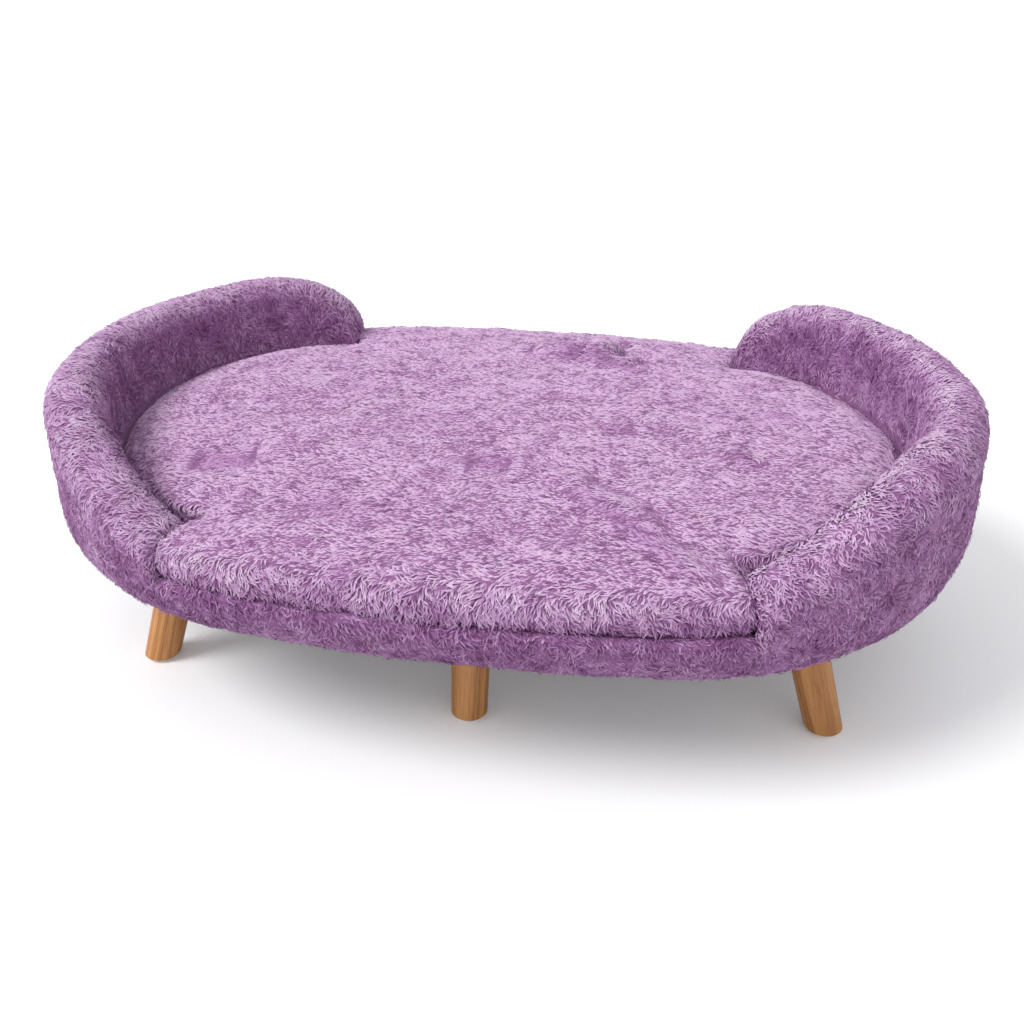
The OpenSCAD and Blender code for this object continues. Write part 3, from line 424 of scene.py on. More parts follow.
def grid_faces(rows, count, closed=False):
    """Quads between rows of points; each row has count points."""
    last = count if closed else count - 1
    faces = []
    for r in range(rows - 1):
        for i in range(last):
            j = (i + 1) % count
            a, b = r * count, (r + 1) * count
            faces.append((a + i, a + j, b + j, b + i))
    return faces


def clamp(v):
    return np.clip(v, 0, 1)


def smooth(t):
    return t * t * (3 - 2 * t)


def unit(v):
    return v / np.maximum(np.linalg.norm(v, axis=1, keepdims=True), 1e-9)


def noise_at(points, size, seed):
    """Smooth noise from -1 to 1 at points, with features about size across."""
    table = np.random.default_rng(seed).uniform(-1, 1, (32, 32, 32))
    q = np.asarray(points) / size + 200.0
    cell = np.floor(q).astype(int)
    f = smooth(q - cell)
    total = np.zeros(len(q))
    for dx in (0, 1):
        for dy in (0, 1):
            for dz in (0, 1):
                step = (dx, dy, dz)
                near = np.where(step, f, 1 - f)
                weight = near[:, 0] * near[:, 1] * near[:, 2]
                total += weight * table[tuple(((cell + step) % 32).T)]
    return total


def read_points(mesh):
    points = np.empty(len(mesh.vertices) * 3, np.float32)
    mesh.vertices.foreach_get("co", points)
    return points.reshape(-1, 3).astype(float)


def write_points(obj, points):
    obj.data.vertices.foreach_set("co", points.astype(np.float32).ravel())
    obj.data.update()


def shape_of(obj):
    """Points, triangles, their normals times twice their area, and point normals of a mesh."""
    mesh = obj.data
    points = read_points(mesh)
    mesh.calc_loop_triangles()
    triangles = np.zeros(len(mesh.loop_triangles) * 3, int)
    mesh.loop_triangles.foreach_get("vertices", triangles)
    triangles = triangles.reshape(-1, 3)
    a, b, c = (points[triangles[:, k]] for k in range(3))
    face = np.cross(b - a, c - a)
    normals = np.zeros_like(points)
    for k in range(3):
        np.add.at(normals, triangles[:, k], face)
    normals /= np.maximum(np.linalg.norm(normals, axis=1, keepdims=True), 1e-12)
    return points, triangles, face, normals


def scatter(obj, density, seed, mask):
    """Even points over a mesh: density is locks to the square metre, thinned by mask."""
    points, triangles, face, normals = shape_of(obj)
    a, b, c = (points[triangles[:, k]] for k in range(3))
    area = np.linalg.norm(face, axis=1) / 2
    wanted = area * density * mask((a + b + c) / 3, unit(face))
    rng = np.random.default_rng(seed)
    count = int(wanted.sum())
    steps = (np.arange(count) + rng.uniform(0, 1, count)) / count * wanted.sum()
    which = np.minimum(np.searchsorted(np.cumsum(wanted), steps), len(triangles) - 1)
    u, v = rng.uniform(0, 1, (2, count))
    over = u + v > 1
    u[over], v[over] = 1 - u[over], 1 - v[over]
    shares = (1 - u - v, u, v)
    corners = triangles[which]

    def mixed(values):
        return sum(values[corners[:, k]] * share[:, None] for k, share in enumerate(shares))

    return mixed(points), unit(mixed(normals))


def locks(
    name, body, seed, field, place, normal, nap, shade, lift, length, width,
    curl=1.4, turn=0.9, mottle=1.0, swirl=1.3,
):
    """Tapered locks of pile: each is a low ridge that leaves the cloth, bends over along the
    nap and sways to one side. turn is how far the nap wanders, in radians, and swirl how far
    it does so over a centimetre."""
    rng = np.random.default_rng(seed)
    count = len(place)

    def drift(size, layer):
        return noise_at(place, size, field + layer)

    side = unit(np.cross(normal, nap))
    nap = unit(np.cross(side, normal))
    wander = turn * (
        0.62 * drift(0.055, 1) + 0.55 * drift(0.021, 2) + 0.35 * rng.normal(0, 0.6, count)
    ) + swirl * drift(0.0115, 8)
    c, s = np.cos(wander)[:, None], np.sin(wander)[:, None]
    way = nap * c + side * s
    across = side * c - nap * s
    size = length * (1 + 0.24 * drift(0.03, 3) + rng.uniform(-0.22, 0.22, count))
    wide = width * rng.uniform(0.72, 1.3, count)
    # Slits: thin, dark, raised locks of painted shade, standing for the gaps into the pile
    shade_slit = (rng.uniform(0, 1, count) < SHADE_SLITS) & (lift < 0.24)
    wide = np.where(shade_slit, wide * 0.4, wide)
    out = np.where(shade_slit, 0.0010, -0.0008)
    high = lift * (1 + 0.5 * drift(0.016, 4) + rng.uniform(-0.3, 0.3, count))
    bend = curl * (rng.uniform(-1, 1, count) + 0.6 * drift(0.013, 5))
    rings = np.linspace(0, 1, SEGMENTS + 1)
    spread = np.interp(rings, [0, 0.3, 0.7, 1], [0.7, 1.0, 0.72, 0.0])
    rise = np.sin(rings * 2.5) * 0.9 + rings * 0.12
    tone = clamp(shade + mottle * (
        0.16 * drift(0.045, 6) + 0.2 * drift(0.012, 7) + rng.normal(0, 0.1, count)
    ))
    column = np.round(np.where(shade_slit, tone * 0.2, tone) * (COLUMNS - 1))
    verts, uvs, shading = [], [], []
    for k, r in enumerate(rings):
        middle = (
            place + normal * out[:, None]
            + way * (size * r)[:, None]
            + across * (size * bend * r * r * 0.5)[:, None]
            + normal * (size * high * rise[k])[:, None]
        )
        facing = normal + way * (0.25 * (1 - r))
        if k == SEGMENTS:
            verts.append(middle)
            uvs.append((0.5, 1.0))
            shading.append(facing)
            continue
        broad = (wide * spread[k])[:, None]
        half = unit(across - way * (bend * r)[:, None]) * broad / 2
        verts += [middle - half, middle + normal * (0.42 * broad), middle + half]
        uvs += [(0.04, r), (0.5, r), (0.96, r)]
        shading += [facing - across * ROUND, facing, facing + across * ROUND]
    faces = [(a, a + 3, a + 4, a + 1) for k in range(SEGMENTS - 1) for a in (3 * k, 3 * k + 1)]
    a = 3 * (SEGMENTS - 1)
    faces += [(a, a + 3, a + 1), (a + 1, a + 3, a + 2)]
    pattern = np.concatenate(faces)
    totals = np.tile([len(face) for face in faces], count)
    corners = (np.arange(count)[:, None] * len(verts) + pattern).reshape(-1)
    verts = np.stack(verts, 1).reshape(-1, 3)
    mesh = bpy.data.meshes.new(name)
    mesh.vertices.add(len(verts))
    mesh.vertices.foreach_set("co", verts.astype(np.float32).ravel())
    mesh.loops.add(len(corners))
    mesh.loops.foreach_set("vertex_index", corners.astype(np.int32))
    mesh.polygons.add(len(totals))
    starts = np.concatenate([[0], np.cumsum(totals)[:-1]])
    mesh.polygons.foreach_set("loop_start", starts.astype(np.int32))
    mesh.update(calc_edges=True)
    mesh.polygons.foreach_set("use_smooth", np.ones(len(totals), bool))
    local = np.array(uvs)[pattern]
    u = (column[:, None] + local[None, :, 0]) / COLUMNS
    v = np.broadcast_to(0.02 + 0.96 * local[None, :, 1], u.shape)
    layer = mesh.uv_layers.new(name="OFBake")
    layer.data.foreach_set("uv", np.stack([u, v], 2).astype(np.float32).ravel())
    mesh.materials.append(PILE)
    shading = unit(np.stack(shading, 1).reshape(-1, 3))
    mesh.normals_split_custom_set_from_vertices(shading.astype(np.float32))
    put(bpy.data.objects.new(name, mesh), body, "plush")


def pile(
    name, body, seed, place, normal, nap, shade, lift, length=LOCK_L, width=LOCK_W, **style
):
    """Locks all over a form, in pieces that lie side by side."""
    shade, lift, length = (np.broadcast_to(v, len(place)) for v in (shade, lift, length))
    order = np.argsort(place[:, 0], kind="stable")
    for k, part in enumerate(np.array_split(order, math.ceil(len(order) / PIECE_LOCKS))):
        facts = (v[part] for v in (place, normal, nap, shade, lift, length))
        locks(f"{name}_{k + 1}", body, seed + 1000 * k, seed, *facts, width, **style)


# Plush forms

def arm_top_at(a, side):
    """The front slopes down, more on the left, and the rear rounds down."""
    if a < 0:
        fall = max(0, min(1, (-a - PLUSH_FRONT + FRONT_RISE) / FRONT_RISE))
        return FRONT_LOW + (ARM_TOP - FRONT_LOW) * (1 - fall ** (1.5 if side > 0 else 1.3))
    fall = max(0, min(1, (a - PLUSH_REAR + REAR_RISE) / REAR_RISE))
    return REAR_LOW + (ARM_TOP - REAR_LOW) * math.sqrt(1 - fall * fall)


def wall_in(z):
    """How far in from the outline an arm's inner wall is at a height: it is full above the
    seat and draws in below it."""
    return np.interp(z, (190, 204, 232, 262, 290), (75, 71, 64.5, 62, WALL_IN))


def under_edge(last, steps):
    """The flap turned in under the frame, and the round edge up to an angle."""
    t = np.radians(np.linspace(-90, last, steps))
    return [(FLAP_IN, COVER_Z), (FLAT_IN, COVER_Z)] + [
        (UNDER_W - UNDER_W * math.cos(v), COVER_Z + UNDER_H + UNDER_H * math.sin(v)) for v in t
    ]


def arm_section(top):
    """Distance in from the outline and height, from the turned-in flap round to the foot."""
    line = under_edge(0, 18)
    low = COVER_Z + UNDER_H
    line += [(0, low + (top - CROWN_R - low) * k / 8) for k in range(1, 9)]
    turns = [math.pi / 2 * k / 9 for k in range(10)]
    for t in turns[1:]:
        line.append((CROWN_R - CROWN_R * math.cos(t), top - CROWN_R + CROWN_R * math.sin(t)))
    inner = WALL_IN - CROWN_R
    for t in turns:
        line.append((inner + CROWN_R * math.sin(t), top - CROWN_R + CROWN_R * math.cos(t)))
    high = line[-1][1]
    for k in range(1, 17):
        z = high + (DECK_TOP + FIT - high) * k / 16
        line.append((max(WALL_IN, wall_in(z)), z))
    return np.array(line)


def set_in(line, d):
    """A section moved in by d along its own normals."""
    if d == 0:
        return line
    way = unit(np.gradient(line, axis=0))
    return line + d * np.stack([way[:, 1], -way[:, 0]], 1)


def on_arc(cx, cy, radius, angle, line):
    a = math.radians(angle)
    reach = radius - line[:, 0]
    return np.stack([cx + reach * math.cos(a), cy + reach * math.sin(a), line[:, 1]], 1)


def end_stations(first, last, step, ends):
    """Angles between two ends, with a rounding of the ends: (angle, set in)."""
    turns = [math.pi / 2 * (1 - k / 6) for k in range(7)]
    near = [(ends * (1 - math.sin(t)) * ARC, ends * (1 - math.cos(t))) for t in turns]
    a, b = first + ends * ARC, last - ends * ARC
    count = max(2, int((b - a) / step))
    middle = [(a + (b - a) * k / count, 0) for k in range(1, count)]
    return (
        [(first + d, inset) for d, inset in near] + middle
        + [(last - d, inset) for d, inset in near[::-1]]
    )


def swell(obj, amount, size, seed):
    """Stuffing is never even: slow swells over a surface."""
    points, _, _, normals = shape_of(obj)
    write_points(obj, points + normals * (amount * noise_at(points, size, seed))[:, None])


def apply_modifiers(obj):
    """The mesh with its modifiers applied takes the place of obj's own; gives its points."""
    graph = bpy.context.evaluated_depsgraph_get()
    mesh = bpy.data.meshes.new_from_object(obj.evaluated_get(graph))
    obj.modifiers.clear()
    obj.data = mesh
    mesh.polygons.foreach_set("use_smooth", [True] * len(mesh.polygons))
    return read_points(mesh)


def blow_up(obj, allowed):
    """Cloth simulation: the cover, remeshed, swells under air pressure and is then applied.
    allowed gives for each point how far it may move, in metres."""
    scene = bpy.context.scene
    scene.collection.objects.link(obj)
    remesh = obj.modifiers.new("even", "REMESH")
    remesh.mode = "VOXEL"
    remesh.voxel_size = VOXEL
    before = apply_modifiers(obj)
    cloth = obj.modifiers.new("swell", "CLOTH")
    cloth.settings.quality = 4
    cloth.settings.use_pressure = True
    cloth.settings.uniform_pressure_force = PRESSURE
    cloth.settings.effector_weights.gravity = 0
    cloth.collision_settings.use_collision = False
    for frame_number in range(1, CLOTH_FRAMES + 1):
        scene.frame_set(frame_number)
    after = apply_modifiers(obj)
    scene.frame_set(1)
    scene.collection.objects.unlink(obj)
    moved = after - before
    far = np.linalg.norm(moved, axis=1)
    share = np.minimum(1, allowed(before) / np.maximum(far, 1e-9))
    write_points(obj, before + moved * share[:, None])


def eased(obj, above, rounds):
    """The points of a mesh, with the heights of those above a level evened out."""
    points = read_points(obj.data)
    edges = np.empty(len(obj.data.edges) * 2, np.int32)
    obj.data.edges.foreach_get("vertices", edges)
    a, b = edges.reshape(-1, 2).T
    count, z = len(points), points[:, 2]
    degree = np.maximum(np.bincount(a, minlength=count) + np.bincount(b, minlength=count), 1)
    share = 0.5 * clamp((z - above) / 0.004)
    for _ in range(rounds):
        near = (np.bincount(a, z[b], count) + np.bincount(b, z[a], count)) / degree
        z = z + share * (near - z)
    return np.column_stack([points[:, :2], z])


def upholster(name, points, faces, swells):
    """A plush skin over the frame, in place of its cover and its foam."""
    obj = mesh_object(f"{name}_plush", points, faces, GROUND)
    swell(obj, *swells)
    put(obj, "frame", "plush", f"{name}_cover", f"{name}_foam")
    return obj


def make_arm(side):
    stations = end_stations(-PLUSH_FRONT, PLUSH_REAR, 1.5, 8.0)
    rows = [
        on_arc(END_X, 0, END_R, angle, set_in(arm_section(arm_top_at(angle, side)), inset))
        for angle, inset in stations
    ]
    count = len(rows[0])
    faces = grid_faces(len(rows), count)
    # Each end's cap runs round the frame inside it
    deck, rail = DECK_IN - 1.2, RAIL_IN - 1.2
    steps = np.array([
        (deck, DECK_TOP + FIT), (deck, RAIL_TOP - FIT), (rail, RAIL_TOP - FIT),
        (rail, FRAME_Z - FIT), (FLAP_IN, FRAME_Z - FIT),
    ])
    start = len(rows) * count
    for first, angle in ((0, -PLUSH_FRONT), (start - count, PLUSH_REAR)):
        rows.append(on_arc(END_X, 0, END_R, angle, steps))
        cap = [*range(first, first + count), *range(start, start + len(steps))]
        faces.append(cap if first == 0 else cap[::-1])
        start += len(steps)
    points = np.concatenate(rows) * MM
    points[:, 0] *= side
    if side > 0:
        faces = [face[::-1] for face in faces]
    name = "right" if side > 0 else "left"
    return upholster(f"{name}_arm", points, faces, (0.0016, 0.07, 11 + side))


def band_section():
    last = math.degrees(math.asin((BAND_TOP - COVER_Z - UNDER_H) / UNDER_H))
    top = [(1.4, BAND_TOP - 4), (4, BAND_TOP - 1)]
    top += [(d, BAND_TOP) for d in (8, 24, 40, LAP_IN)] + [(LAP_IN, DECK_TOP + FIT)]
    return np.array(under_edge(last - 9, 16) + top)


def make_band(side):
    """side is -1 for the front and 1 for the rear."""
    first = (PLUSH_FRONT if side < 0 else PLUSH_REAR) + FIT * ARC
    ends = [s for s in end_stations(first, 90 - JOIN + 4, 1.0, 5.0) if s[0] < 90 - JOIN]
    stations = [(-END_X, 0, END_R, 180 + angle, inset) for angle, inset in ends]
    stations += [
        (0, SIDE_Y, SIDE_R, 270 - JOIN + 2 * JOIN * k / 40, 0) for k in range(41)
    ]
    stations += [(END_X, 0, END_R, -angle, inset) for angle, inset in ends[::-1]]
    section = band_section()
    rows = [on_arc(*place, set_in(section, inset)) for *place, inset in stations]
    points = np.concatenate(rows) * MM
    points[:, 1] *= -side
    faces = grid_faces(len(rows), len(section))
    if side < 0:
        faces = [face[::-1] for face in faces]
    name = "front" if side < 0 else "rear"
    return upholster(f"{name}_band", points, faces, (0.0014, 0.06, 31 + side))


# The cushion

def cushion_outline(e, arm_steps, side_steps, foot=FOOT_W):
    """The cushion's plan, set in by e: as in part.scad, in finer steps."""
    fade = min(1, e / NOTCH_FADE)
    notch = foot * (1 - fade ** 2)
    ear = ARM_END + math.degrees(GAP / (END_R - FOOT_W))
    ear += EAR_SHARE * (90 - JOIN - ARM_END) * (1 - (1 - fade) ** 2)
    cut = EAR_CUT * notch / foot
    inner, outer = END_R - notch - GAP - e, END_R - e
    points = [(inner, ear * k / arm_steps) for k in range(arm_steps + 1)]
    points += [(inner + (outer - cut - inner) * k / 8, ear) for k in range(1, 9)]
    last = ear + math.degrees(cut / END_R)
    for k in range(1, 4):
        r = outer - cut + cut * math.sqrt(1 - (1 - k / 3) ** 2)
        points.append((r, ear + (last - ear) * k / 3))
    line = []
    for r, angle in points:
        a = math.radians(angle)
        line.append((END_X + r * math.cos(a), r * math.sin(a)))
    for k in range(side_steps):
        a = math.radians(JOIN * (1 - k / side_steps))
        line.append(((SIDE_R - e) * math.sin(a), (SIDE_R - e) * math.cos(a) - SIDE_Y))
    half = line + [(0, HALF_D - e)] + [(-x, y) for x, y in line[::-1]]
    return np.array(half + [(x, -y) for x, y in half[-2:0:-1]])


def wrinkles(x, y):
    """Height of the creases that the photograph shows on the seat, in metres."""
    rise = 0
    for p, q, width, high, skew in CREASES:
        p, q = np.array(p) * MM, np.array(q) * MM
        d = q - p
        length = math.hypot(*d)
        d /= length
        u = (x - p[0]) * d[0] + (y - p[1]) * d[1]
        v = -(x - p[0]) * d[1] + (y - p[1]) * d[0]
        v = v + 0.3 * width * np.sin(u / 0.017) + 0.25 * width * np.sin(u / 0.031 + 1.3)
        fade = smooth(clamp(np.minimum(u, length - u) / (0.2 * length) + 0.5))
        v = v / width
        rise = rise + high * fade * (np.exp(-v * v) + skew * np.exp(-(v - 1.6) ** 2 / 0.8))
    return rise


def rubbed_and_shaded(x, y):
    """Where the seat's locks are painted darker, from 0 to 1: painted shade in its hollows and
    along its creases, and where the pile is brushed the wrong way.
    """
    total = np.zeros(len(x))
    for px, py, rx, ry, turn, much in RUBBED_AND_SHADED:
        c, s = math.cos(turn), math.sin(turn)
        dx, dy = x - px * MM, y - py * MM
        u, v = (dx * c + dy * s) / (rx * MM), (-dx * s + dy * c) / (ry * MM)
        total += much * np.exp(-u * u - v * v)
    return clamp(total)


def hug(points):
    """The seat bulges out and up where it is squeezed in between the arms."""
    out = points.copy()
    x, y, z = np.abs(points[:, 0]) - END_X * MM, points[:, 1], points[:, 2]
    reach = np.hypot(x, y)
    angle = np.degrees(np.arctan2(np.abs(y), x))
    facing = clamp((ARM_END - 1 - angle) / 9) * (x > 0)
    near = smooth(clamp((reach - 0.165) / 0.08)) * facing
    high = clamp((z - (CUSHION_Z + 14) * MM) / (22 * MM))
    push = 1 + 0.0085 * near * high / np.maximum(reach, 0.01)
    sign = np.sign(points[:, 0])
    out[:, 0] = sign * (END_X * MM + x * push) * (x > 0) + points[:, 0] * (x <= 0)
    out[:, 1] = y * np.where(x > 0, push, 1)
    out[:, 2] += 0.006 * near * high
    # The ears follow the arms' ends, and press against them higher up
    ear = clamp((angle - ARM_END + 9) / 9) * clamp((ARM_END + 13 - angle) / 11)
    ear *= clamp((reach - 0.235) / 0.02) * (x > 0)
    shift = np.where(y < 0, PLUSH_FRONT, PLUSH_REAR) - ARM_END
    press = clamp((z - (CUSHION_Z + 2) * MM) / (10 * MM))
    back = np.radians(angle + shift * ear) - 0.0065 * ear * press / np.maximum(reach, 0.01)
    moved = ear > 0
    reach, back = (reach * push)[moved], back[moved]
    out[moved, 0] = sign[moved] * (END_X * MM + reach * np.cos(back))
    out[moved, 1] = np.sign(y[moved]) * reach * np.sin(back)
    return out


def cushion_skin(d):
    """Points and faces of the cushion, set in by d."""
    shape = [(ROLL_IN + (HALF_D - ROLL_IN) * p, None) for p in np.linspace(0.56, 0.02, 46)]
    for k in range(0, 8):
        t = math.pi / 2 * k / 7
        shape.append((1 + (ROLL_IN - 1) * (1 - math.sin(t)), 17 + 22 * math.cos(t)))
    for k in range(1, 7):
        t = math.pi / 2 * k / 6
        shape.append((1 + (SEAM_IN - 1) * (1 - math.cos(t)), 1 + 16 * (1 - math.sin(t))))
    shape += [(TURN_IN, 1), (TURN_IN + 3, 8)]
    rows = []
    for e, high in shape:
        plan = cushion_outline(e + d, 36, 28, SEAT_FOOT)
        if high is None:
            share = 1 - min(1, (e - ROLL_IN) / (HALF_D - ROLL_IN))
            high = EDGE_H + CROWN_H * (1 - share ** 3) - 1
        high += d * (1 - 2 * min(1, high / 30))
        rows.append(np.column_stack([plan, np.full(len(plan), CUSHION_Z + high)]))
    grid = np.array(rows) * MM
    for _ in range(5):
        near = (np.roll(grid, 1, 1) + np.roll(grid, -1, 1)) / 2
        grid[1:-1] += 0.5 * ((near[1:-1] + (grid[2:] + grid[:-2]) / 2) / 2 - grid[1:-1])
    # The crown runs on smoothly where the plan's corners would crease it: rows are
    # evened out along their length, and more so the farther in they lie
    for k in range(140):
        line = grid[:max(1, int(44 - k * 0.16))]
        near = (np.roll(line, 1, 1) + np.roll(line, -1, 1)) / 2
        line += 0.5 * (near - line)
    count = grid.shape[1]
    points = hug(grid.reshape(-1, 3))
    crown = (CUSHION_Z + EDGE_H + CROWN_H - 1 - d) * MM
    points = np.concatenate([points, [[0, 0, crown], [0, 0, (CUSHION_Z + 8 + d) * MM]]])
    faces = [face[::-1] for face in grid_faces(len(rows), count, True)]
    base = (len(rows) - 1) * count
    apex = len(rows) * count
    faces += [(i, (i + 1) % count, apex) for i in range(count)]
    faces += [(base + (i + 1) % count, base + i, apex + 1) for i in range(count)]
    return points, faces


def make_cushion():
    def allowed(points):
        """The top swells freely, the sides little, the foot not at all."""
        high = clamp((points[:, 2] / MM - CUSHION_Z - 10) / 24)
        return 0.0015 + 0.0045 * high * high - 0.0015 * (points[:, 2] < (CUSHION_Z + 9) * MM)

    obj = mesh_object("cushion_plush", *cushion_skin(COVER_IN), GROUND)
    blow_up(obj, allowed)
    points = eased(obj, (CUSHION_Z + EASE_FROM) * MM, EASE_ROUNDS)
    top = points[:, 2] > (CUSHION_Z + 30) * MM
    points[top, 2] += wrinkles(points[top, 0], points[top, 1])
    write_points(obj, points)
    swell(obj, 0.0012, 0.09, 51)
    put(obj, "cushion", "plush", "cushion_cover")
    core = mesh_object("cushion_core", *cushion_skin(CORE_IN), MATS["foam"])
    put(core, "cushion", "foam", "cushion_foam")
    return obj


# The pile on each form

def flow(place, normal):
    """Down the outside, over the top from inside to outside, and up the inside; with the way
    along the outline, and how far a face looks outwards."""
    middle = np.clip(place[:, 0], -END_X * MM, END_X * MM)
    flat = np.zeros(len(place))
    out = unit(np.column_stack([place[:, 0] - middle, place[:, 1], flat]))
    out_part = (normal * out).sum(1)
    way = out * normal[:, 2:3]
    way[:, 2] -= out_part
    return way, np.column_stack([-out[:, 1], out[:, 0], flat]), out_part


def endwise(out_part, normal):
    """How far a face looks along the bed's outline, as an arm's end does, from 0 to 1."""
    return clamp(1.6 - 1.6 * np.hypot(out_part, normal[:, 2]))


def underside(middle, face):
    """The flaps turned in under the frame."""
    return (middle[:, 2] < 0.1365) & (face[:, 2] < -0.5)


def arm_fur(side):
    def wanted(middle, face):
        """All but what the frame, the bands and the cushion hide."""
        x, y, z = np.abs(middle[:, 0]) - END_X * MM, middle[:, 1], middle[:, 2]
        reach = np.hypot(x, y)
        buried = (reach < 0.2685) & (z < 0.226) & (np.abs(y) < 0.25)
        closed = (reach < 0.262) & (z < 0.205)
        inner = (z < 0.19) & (reach < 0.30)
        return 1.0 * ~(underside(middle, face) | buried | closed | inner)

    place, normal = scatter(ARMS[side], FUR, 101 + side, wanted)
    way, along, out_part = flow(place, normal)
    inside_part = clamp(-out_part * 1.4)
    way = way + along * (0.35 * side * np.sign(0.5 - inside_part))[:, None]
    # Painted light: the locks are lighter on top, with a painted highlight along the inner top
    # edge, and painted shade darkens them down the inside and the outside; the right arm's inside,
    # which faces the key light, less so
    rim = np.exp(-((out_part + 0.45) / 0.3) ** 2) * clamp(normal[:, 2] * 1.5)
    shade = 0.54 + 0.2 * normal[:, 2] - 0.2 * inside_part + (0.3 if side > 0 else 0.16) * rim
    if side > 0:
        shade += 0.1 * inside_part - 0.1 * clamp(out_part)
    else:
        shade += 0.1 * clamp(normal[:, 2] * 2) - 0.08 * clamp(out_part)
    lift = 0.17 + 0.1 * rim + 0.3 * endwise(out_part, normal)
    name = "right_arm_pile" if side > 0 else "left_arm_pile"
    pile(name, "frame", 111 + side, place, normal, way, shade, lift)


def band_fur(side):
    def wanted(middle, face):
        """All but the underside and what the cushion covers."""
        x, y = np.abs(middle[:, 0]) / MM, np.abs(middle[:, 1]) / MM
        side_in, end_in = SIDE_R - np.hypot(x, y + SIDE_Y), END_R - np.hypot(x - END_X, y)
        inset = np.where(x < SIDE_R * math.sin(math.radians(JOIN)), side_in, end_in)
        return 1.0 * ~(underside(middle, face) | (face[:, 2] > 0.9) & (inset > 14))

    place, normal = scatter(BANDS[side], FUR, 121 + side, wanted)
    way, along, _ = flow(place, normal)
    name = "front_band_pile" if side < 0 else "rear_band_pile"
    # Painted shade: the bands' locks take a low shade, as they lie under the cushion's roll
    pile(name, "frame", 131 + side, place, normal, way + along * 0.35, 0.36, 0.18, turn=0.95)


def cushion_fur():
    def top_only(_, face):
        return 1.0 * (face[:, 2] > 0.87)

    def side_only(middle, face):
        """Not in the recess, nor on the hidden face over the base cloth and the zip."""
        out_part = flow(middle, face)[2]
        z = middle[:, 2]
        recess = (out_part < -0.3) & (z < (CUSHION_Z + 12) * MM)
        under = (face[:, 2] < -0.8) & (z > (CUSHION_Z + 5) * MM)
        return 1.0 * ((face[:, 2] <= 0.87) & (z > (CUSHION_Z + 1.5) * MM) & ~recess & ~under)

    def combed(place, normal):
        """The nap: across the seat on top, turning down over the edge."""
        way, along, _ = flow(place, normal)
        slant = 0.1 + 0.65 * clamp((place[:, 0] + 0.2) / 0.4)
        down = way + along * slant[:, None]
        top = np.tile([-1.0, -0.12, 0.0], (len(place), 1))
        flat = clamp((normal[:, 2] - 0.55) / 0.42)[:, None]
        return down * (1 - flat) + top * flat

    place, normal = scatter(CUSHION, SEAT_FUR, 141, top_only)
    # Painted shade: the mask darkens the seat in its hollows and along its creases, and turns the
    # nap where the pile is brushed the wrong way
    dark = rubbed_and_shaded(place[:, 0], place[:, 1])
    way = combed(place, normal)
    turned = noise_at(place, 0.03, 149) * dark * 1.4
    way[:, :2] += np.column_stack([-way[:, 1], way[:, 0]]) * turned[:, None]
    # Painted light: the seat's locks take a light shade for the face that looks up, less the
    # painted shade of the mask
    pile(
        "seat_pile", "cushion", 151, place, normal, way, 0.94 - 0.45 * dark, 0.09,
        SEAT_LOCK_L, SEAT_LOCK_W, curl=1.0, turn=0.6, mottle=0.3, swirl=0.35,
    )
    place, normal = scatter(CUSHION, FUR * 1.1, 142, side_only)
    # Painted light: the side's locks are lighter where they face up and darker lower down, painted
    # shade under the roll's edge
    shade = 0.53 + 0.42 * normal[:, 2]
    lift = 0.19 + 0.25 * endwise(flow(place, normal)[2], normal)
    length = 0.0100 * (1 + 0.5 * clamp(1 - (place[:, 2] / MM - CUSHION_Z) / 14))
    pile(
        "cushion_side_pile", "cushion", 161, place, normal, combed(place, normal), shade, lift,
        length, SEAT_LOCK_W, turn=0.85, swirl=0.9,
    )


# Cloths, zip and the rest of the frame

def oval_plan(inset, count=120):
    """The bed's plan outline, set in."""
    line = []
    half = 90 - JOIN
    for k in range(count + 1):
        a = math.radians(-half + 2 * half * k / count)
        line.append((END_X + (END_R - inset) * math.cos(a), (END_R - inset) * math.sin(a)))
    for k in range(1, count // 2):
        a = math.radians(JOIN * (1 - 2 * k / (count // 2)))
        line.append(((SIDE_R - inset) * math.sin(a), (SIDE_R - inset) * math.cos(a) - SIDE_Y))
    return line + [(-x, -y) for x, y in line]


def inside(points, loop):
    """Which points lie inside a closed loop."""
    x, y = points[:, 0], points[:, 1]
    hit = np.zeros(len(points), bool)
    for (ax, ay), (bx, by) in zip(loop, np.roll(loop, -1, 0)):
        crosses = (ay > y) != (by > y)
        with np.errstate(divide="ignore", invalid="ignore"):
            at = ax + (y - ay) * (bx - ax) / (by - ay)
        hit ^= crosses & (x < at)
    return hit


def gap_to(points, loop):
    """Distance from points to the nearest edge of a loop."""
    best = np.full(len(points), 1e9)
    for a, b in zip(loop, np.roll(loop, -1, 0)):
        d = b - a
        t = np.clip(((points - a) @ d) / max(d @ d, 1e-9), 0, 1)
        best = np.minimum(best, np.linalg.norm(points - a - t[:, None] * d, axis=1))
    return best


